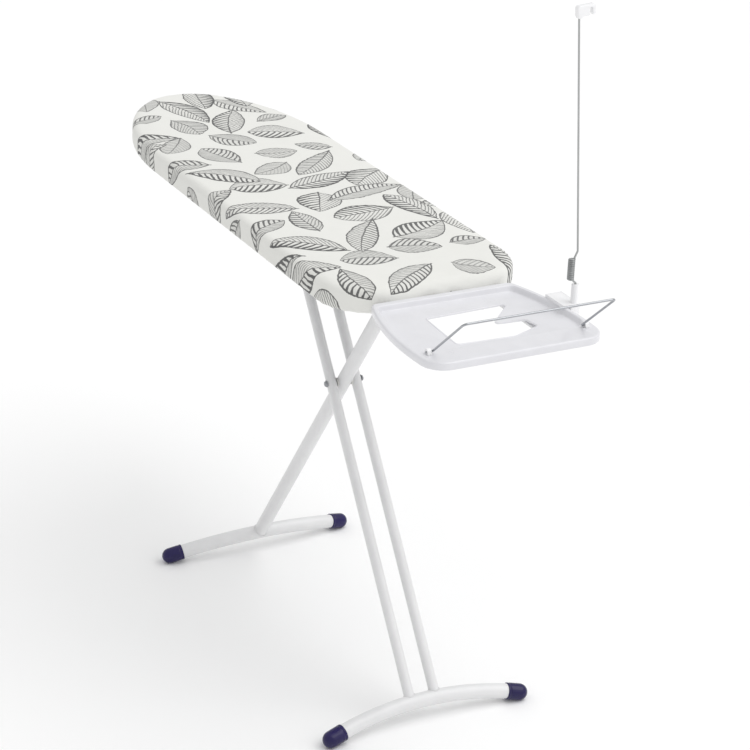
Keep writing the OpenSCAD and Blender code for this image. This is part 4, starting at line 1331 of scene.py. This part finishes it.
def make_cord_holder(settings):
    """The socket, the stub and the mast with the spring that joins them, and the clip."""
    eased("board", "white_plastic", "white_plastic", 0.0012, ("cord_holder_socket",), 3)
    coil_low, coil_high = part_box("mast_spring")
    coil = (coil_low + coil_high) / 2
    wire = settings.mast / 2
    radius = settings.coil / 2 - wire
    stub_low, stub_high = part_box("mast_stub")
    post = np.array([coil.x, stub_high.y - wire, stub_low.z])
    start = np.array([coil.x, coil.y + radius, coil_low.z + wire])
    crank = [post, (post[0], post[1], coil_low.z - 0.0065), start + np.array([0.0, 0.0015, -0.0035]), start,
             (coil.x - 0.6 * radius, coil.y + 0.8 * radius, coil_low.z + wire + 0.0003)]
    stub = sweep("mast_stub_shown", bent(crank, 0.004, 6), wire, 14)
    placed(stub, "mast_base", "mast_wire", "spring_steel", "mast_stub")
    height = coil_high.z - coil_low.z - 2 * wire
    spring = grown("coil_spring", tree_named("coils", coil_tree), [(coil.x, coil.y, coil_low.z + wire)], [],
                   turns=settings.turns, radius=radius, height=height, wire_radius=wire * 0.97,
                   start_angle=math.pi / 2, material=bpy.data.materials["spring_wire"])
    shade(spring, 60)
    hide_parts("mast_spring")
    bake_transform(spring, "mast_base", "mast", start=(coil.x, coil.y, coil_low.z + 0.004),
             end=(coil.x, coil.y, coil_high.z - 0.004))
    wire_low, wire_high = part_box("mast_wire")
    foot = np.array([coil.x, wire_high.y - wire, coil_high.z + 0.0105])
    tip = np.array([coil.x, wire_low.y + wire, wire_high.z - wire])
    top = np.array([coil.x, coil.y + radius, coil_high.z - wire])
    lean = unit(tip - foot)
    path = [(coil.x + 0.6 * radius, coil.y + 0.8 * radius, coil_high.z - wire - 0.0003), top,
            top + np.array([0.0, 0.002, 0.004]), foot, foot + lean * 0.03, tip - lean * 0.03, tip]
    mast = sweep("mast_wire_shown", bent(path, 0.007, 8), wire, 14)
    placed(mast, "mast", "mast_wire", "white_wire", "mast_wire")
    side = np.cross(lean, (1, 0, 0))
    side = side if side[1] > 0 else -side
    verts = [tip + side * (y / 1000) + lean * (z / 1000) + np.array([s * settings.clip / 2, 0, 0])
             for s in (-1, 1) for y, z in CLIP_OUTLINE]
    n = len(CLIP_OUTLINE)
    faces = [list(range(n)), list(range(2 * n - 1, n - 1, -1))]
    faces += [[i, (i + 1) % n, n + (i + 1) % n, n + i] for i in range(n)]
    clip = rounded(piece("cord_clip_shown", verts, faces), 0.0011, 3, 25)
    placed(clip, "mast", "white_plastic", "white_plastic", "cord_clip")


CAP_BEAD = 0.0009  # rounding of a foot cap's mouth
TINY = 1e-4  # step in angle that gives a foot bar's direction


def arch_radius(settings):
    """Radius of a foot bar's middle line."""
    return ((settings.span / 2) ** 2 + settings.arch**2) / (2 * settings.arch)


def foot_point(settings, pivot, down, side, angle):
    """The point on a foot bar's middle line at an angle from its middle, towards `side`."""
    radius = arch_radius(settings)
    centre = pivot + down * (settings.leg + radius)
    return centre - down * radius * math.cos(angle) + SIDEWAYS * side * radius * math.sin(angle)


def make_foot_cap(settings, name, pivot, down, side, body, node):
    """A domed cap on the end of a foot bar, with a thick rounded mouth and a flat sole."""
    radius = arch_radius(settings)
    whole = math.asin(settings.span / 2 / radius)
    bar, full = settings.bar / 2, settings.bar / 2 + settings.cap_wall
    cap = settings.cap
    profile = [(-0.002, 0.0), (-0.002, bar - 0.0002), (-cap, bar - 0.0002), (-cap, full - CAP_BEAD)]
    profile += [(-cap + CAP_BEAD * (1 - math.cos(a)), full - CAP_BEAD + CAP_BEAD * math.sin(a))
                for a in np.radians([30, 60, 90])]
    profile += [(-cap + 0.0045, full), (-cap + 0.0051, full - 0.0005), (-cap + 0.0059, full - 0.0005),
                (-cap + 0.0065, full)]
    profile += [(s, full) for s in np.linspace(-cap + 0.008, 0, 7)]
    profile += [(full * math.sin(a), full * math.cos(a)) for a in np.radians(np.linspace(6, 89.5, 15))]

    def point(angle):
        return foot_point(settings, pivot, down, side, angle)

    on = unit(point(whole + TINY) - point(whole - TINY))
    turn = np.linspace(0, FULL_TURN, 56, endpoint=False)
    plane = np.cross(down, SIDEWAYS)
    loops = []
    for s, r in profile:
        a = whole + min(s, 0) / radius
        way = on if s > 0 else unit(point(a + TINY) - point(a))
        flat = np.cross(way, plane)
        ring = np.cos(turn)[:, None] * plane + np.sin(turn)[:, None] * flat
        loops.append(point(a) + on * max(s, 0) + max(r, POINT) * ring)
    loops = np.array(loops)
    loops[..., 2] = np.maximum(loops[..., 2], 0.0)
    obj = skin(name, loops, smooth=50)
    placed(obj, body, "cap_plastic", "navy_plastic", node)


def seam_between(pivot, down, settings, tube_r, tube_y):
    """The line where a leg tube meets its foot bar, as points round the tube."""
    radius = arch_radius(settings)
    plane = np.cross(down, SIDEWAYS)
    points = []
    for t in np.linspace(0, FULL_TURN, 48, endpoint=False):
        y = tube_y + tube_r * math.cos(t)
        z = tube_r * math.sin(t)
        rise = math.sqrt(max((settings.bar / 2) ** 2 - z * z, 0))
        x = settings.leg + radius - math.sqrt(radius**2 - y * y) - rise
        points.append(pivot + down * x + SIDEWAYS * y + plane * z)
    return points


def make_stand(settings):
    single_down = unit(PIVOTS["leg_cross"] - PIVOTS["leg_fold"])
    twin_down = unit(PIVOTS["leg_cross"] - PIVOTS["carriage_swivel"])
    for node in ("single_leg_tube", "rear_foot_bar", "twin_tube_left", "twin_tube_right", "front_foot_bar"):
        finish_node(node, "powder_paint")
    eased("single_leg", "powder_paint", "white_steel", 0.0005, ("leg_hinge_sleeve",))
    eased("single_leg", "black_plastic", "black_plastic", 0.0003, ("pivot_bush",))
    eased("twin_leg", "black_plastic", "black_plastic", 0.0006, ("twin_tube_plugs",))
    eased("twin_leg", "zinc", "zinc_steel", 0.0006, ("slide_axle",))
    eased("twin_leg", "zinc", "zinc_steel", 0.0005, ("leg_pivot_pin",))
    eased("twin_leg", "nylon", "nylon_white", 0.0003, ("pivot_washers",))
    make_pivot_nuts(settings)
    make_welds("single_leg_weld", "single_leg", PIVOTS["leg_fold"], single_down, settings,
               [(settings.single / 2, 0.0)])
    make_welds("twin_leg_welds", "twin_leg", PIVOTS["carriage_swivel"], twin_down, settings,
               [(settings.twin / 2, settings.twin_y), (settings.twin / 2, -settings.twin_y)])
    for leg, pivot, down, body in (("rear", "leg_fold", single_down, "single_leg"),
                                   ("front", "carriage_swivel", twin_down, "twin_leg")):
        for side, hand in ((1, "left"), (-1, "right")):
            node = f"{leg}_foot_cap_{hand}"
            make_foot_cap(settings, node + "_shown", PIVOTS[pivot], down, side, body, node)


def make_welds(name, body, pivot, down, settings, tubes):
    verts, edges = [], []
    for radius, y in tubes:
        line = seam_between(pivot, down, settings, radius, y)
        start = len(verts)
        verts += line
        edges += [(start + i, start + (i + 1) % len(line)) for i in range(len(line))]
    obj = grown(name, tree_named("weld_beads", bead_tree), verts, edges,
                radius=0.0019, ripple=0.003, material=bpy.data.materials["weld"])
    shade(obj, 60)
    placed(obj, body, "weld", "white_steel")


def make_pivot_nuts(settings):
    """Domed cap nuts with a round flange on the crossing pin's two ends."""
    pin = PIVOTS["leg_cross"]
    face = settings.twin_y + settings.twin / 2
    profile = [(0, 0.0042), (0, 0.0065), (0.0008, 0.0067), (0.0014, 0.0062), (0.0017, 0.0052),
               (0.0034, 0.005)]
    profile += [(0.0034 + 0.0014 * math.sin(a), 0.0012 + 0.0038 * math.cos(a))
                for a in np.radians([20, 45, 70, 88])]
    parts = [turned("nut", profile, pin + SIDEWAYS * side * face, SIDEWAYS * side) for side in (1, -1)]
    placed(joined("pivot_cap_nuts_shown", parts), "twin_leg", "dark_steel", "dark_steel", "pivot_cap_nuts")


LEVER_COIL = {"turns": 5.0, "radius": 0.0060, "height": 0.0062, "wire_radius": 0.0006, "start_angle": 0.0}
COIL_SPACE = 0.0075  # length of the carrier's bracket that a lever coil fits in
GRIP_GROOVE = 0.0009  # depth of the grooves round the grip
GRIP_HOLE = 0.0031
GRIP_EASE = 0.0014


def make_carriage():
    """The sliding carriage, the release lever with its two coils, and its grooved grip."""
    eased("carriage", "rolled_steel", "zinc_steel", 0.0005, ("slide_carrier",))
    eased("carriage", "black_plastic", "black_plastic", 0.0010, ("slide_shoe_left", "slide_shoe_right"), 3)
    eased("lever", "dark_steel", "dark_steel", 0.0005, ("release_lever",))
    axle = PIVOTS["carriage_swivel"]
    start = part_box("lever_springs")[1].y - COIL_SPACE + LEVER_COIL["wire_radius"]
    coils = []
    for side in (1, -1):
        spring = grown("lever_coil", tree_named("coils", coil_tree), [(0, 0, 0)], [],
                       material=bpy.data.materials["spring_wire"], **LEVER_COIL)
        co = vectors(spring)
        lying = np.stack([co[:, 0], side * (co[:, 2] + start), -side * co[:, 1]], 1)
        vectors(spring, lying + [axle[0], 0, axle[2]])
        coils.append(spring)
    placed(joined("lever_coils", coils), "carriage", "spring_wire", "spring_steel", "lever_springs")
    low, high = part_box("lever_grip")
    at = (low + high) / 2
    half, radius = (high.y - low.y) / 2, (high.z - low.z) / 2
    profile = [(-half, GRIP_HOLE), (-half, radius - GRIP_EASE), (-half + GRIP_EASE, radius)]
    for y in np.arange(-half + 0.008, half - 0.008, 0.006):
        profile += [(y, radius), (y + 0.0008, radius - GRIP_GROOVE), (y + 0.0022, radius - GRIP_GROOVE),
                    (y + 0.003, radius)]
    profile += [(half - GRIP_EASE, radius), (half, radius - GRIP_EASE), (half, GRIP_HOLE)]
    grip = turned("lever_grip_shown", profile, at, SIDEWAYS)
    shade(grip, 50)
    placed(grip, "lever", "cap_plastic", "navy_plastic", "lever_grip")


FLOOR_RADIUS, FLOOR_SIDES = 12, 64
LIGHTS_AIM = (0, 0, 0.6)
CAMERA_AT = (3.5351, -1.7955, 2.2783)
CAMERA_AIM = (0.2082, 0.0, 0.608)
CAMERA_ROLL = 2.29  # degrees


def facing(place, aim):
    """The turn that points a lamp or camera at place towards aim."""
    return (Vector(aim) - Vector(place)).to_track_quat("-Z", "Y").to_euler()


def make_stage(settings):
    """Pale floor, large soft lights and the camera."""
    scene = bpy.context.scene
    ring = [(FLOOR_RADIUS * math.cos(t), FLOOR_RADIUS * math.sin(t), 0.0)
            for t in np.linspace(0, FULL_TURN, FLOOR_SIDES, endpoint=False)]
    mesh = bpy.data.meshes.new("floor")
    mesh.from_pydata(ring, [], [list(range(FLOOR_SIDES))])
    floor = bpy.data.objects.new("floor", mesh)
    scene.collection.objects.link(floor)
    material, shader, w = new_material("pale_floor", 0.75)
    place = w.node("ShaderNodeTexCoord").outputs["Object"]
    tone = tuple(settings.floor)
    w.put(shader.inputs["Base Color"], w.mix(w.noise(place, 1.5, 2.0), tuple(0.99 * c for c in tone), tone))
    mesh.materials.append(material)
    world = bpy.data.worlds.new("studio")
    scene.world = world
    world.use_nodes = True
    sky = world.node_tree.nodes["Background"]
    sky.inputs["Color"].default_value = (1, 1, 1, 1)
    sky.inputs["Strength"].default_value = settings.sky
    key = bpy.data.lights.new("key_light", "SUN")
    key.energy = settings.key
    key.angle = math.radians(55)
    fill = bpy.data.lights.new("fill_light", "AREA")
    fill.energy = settings.fill
    fill.size = 2.4
    for lamp, place in ((key, (0.9, 1.5, 4.0)), (fill, (3.4, 2.2, 2.0))):
        light = bpy.data.objects.new(lamp.name, lamp)
        light.location = place
        light.rotation_euler = facing(place, LIGHTS_AIM)
        scene.collection.objects.link(light)
    lens = bpy.data.cameras.new("camera")
    lens.lens = settings.lens
    lens.sensor_width = 36
    camera = bpy.data.objects.new("camera", lens)
    camera.location = CAMERA_AT
    camera.rotation_euler = facing(CAMERA_AT, CAMERA_AIM)
    camera.rotation_euler.rotate_axis("Z", math.radians(CAMERA_ROLL))
    scene.collection.objects.link(camera)
    scene.camera = camera
    scene.view_settings.view_transform = "Standard"


# ---- Operators, panel and registration ----


class IRONING_OT_finishes(bpy.types.Operator):
    """Make every material of the ironing board"""

    bl_idname = "ironing_board.finishes"
    bl_label = "Finishes"

    def execute(self, context):
        make_materials(context.scene)
        return {"FINISHED"}


class IRONING_OT_cover(bpy.types.Operator):
    """Make the felt underlay and the printed cotton cover with its gathered hem"""

    bl_idname = "ironing_board.cover"
    bl_label = "Cover and underlay"

    def execute(self, context):
        make_underlay(context.scene.ib_cover)
        make_cover(context.scene.ib_cover)
        return {"FINISHED"}


class IRONING_OT_core(bpy.types.Operator):
    """Finish the moulded core, its rails, hinge bracket and tray straps"""

    bl_idname = "ironing_board.core"
    bl_label = "Core, rails and straps"

    def execute(self, context):
        make_core()
        return {"FINISHED"}


class IRONING_OT_screws(bpy.types.Operator):
    """Make the pan-head screws under the board"""

    bl_idname = "ironing_board.screws"
    bl_label = "Screws"

    def execute(self, context):
        make_screws()
        return {"FINISHED"}


class IRONING_OT_tray(bpy.types.Operator):
    """Make the iron tray with its well, vent and rim"""

    bl_idname = "ironing_board.tray"
    bl_label = "Iron tray"

    def execute(self, context):
        make_tray(context.scene.ib_tray)
        return {"FINISHED"}


class IRONING_OT_rest(bpy.types.Operator):
    """Make the fold-over wire rest and its clips"""

    bl_idname = "ironing_board.rest"
    bl_label = "Wire rest"

    def execute(self, context):
        make_rest(context.scene.ib_wires)
        return {"FINISHED"}


class IRONING_OT_cord_holder(bpy.types.Operator):
    """Make the cord holder: socket, stub, coil spring, mast and clip"""

    bl_idname = "ironing_board.cord_holder"
    bl_label = "Cord holder"

    def execute(self, context):
        make_cord_holder(context.scene.ib_wires)
        return {"FINISHED"}


class IRONING_OT_stand(bpy.types.Operator):
    """Finish the leg tubes and make their welds, foot caps and crossing pivot"""

    bl_idname = "ironing_board.stand"
    bl_label = "Stand"

    def execute(self, context):
        make_stand(context.scene.ib_stand)
        return {"FINISHED"}


class IRONING_OT_carriage(bpy.types.Operator):
    """Make the sliding carriage, the release lever and its grip"""

    bl_idname = "ironing_board.carriage"
    bl_label = "Carriage and lever"

    def execute(self, context):
        make_carriage()
        return {"FINISHED"}


class IRONING_OT_stage(bpy.types.Operator):
    """Make the floor, the lights and the camera"""

    bl_idname = "ironing_board.stage"
    bl_label = "Stage"

    def execute(self, context):
        make_stage(context.scene.ib_stage)
        return {"FINISHED"}


SETTINGS = (("ib_cover", CoverSettings), ("ib_tray", TraySettings), ("ib_stand", StandSettings),
            ("ib_wires", WireSettings), ("ib_stage", StageSettings))
OPERATORS = (IRONING_OT_finishes, IRONING_OT_cover, IRONING_OT_core, IRONING_OT_screws, IRONING_OT_tray,
             IRONING_OT_rest, IRONING_OT_cord_holder, IRONING_OT_stand, IRONING_OT_carriage, IRONING_OT_stage)


class IRONING_PT_panel(bpy.types.Panel):
    """Lists the pieces and their settings"""

    bl_idname = "IRONING_PT_panel"
    bl_label = "Ironing board"
    bl_space_type = "VIEW_3D"
    bl_region_type = "UI"
    bl_category = "Ironing board"

    def draw(self, context):
        for operator in OPERATORS:
            self.layout.operator(operator.bl_idname)
        for name, group in SETTINGS:
            box = self.layout.box()
            for field in group.__annotations__:
                box.prop(getattr(context.scene, name), field)


def register():
    for name, group in SETTINGS:
        bpy.utils.register_class(group)
        setattr(bpy.types.Scene, name, bpy.props.PointerProperty(type=group))
    for cls in (*OPERATORS, IRONING_PT_panel):
        bpy.utils.register_class(cls)


def unregister():
    for cls in (IRONING_PT_panel, *reversed(OPERATORS)):
        bpy.utils.unregister_class(cls)
    for name, group in reversed(SETTINGS):
        delattr(bpy.types.Scene, name)
        bpy.utils.unregister_class(group)


def main():
    register()
    for operator in OPERATORS:
        group, name = operator.bl_idname.split(".")
        getattr(getattr(bpy.ops, group), name)()


if __name__ == "__main__":
    main()
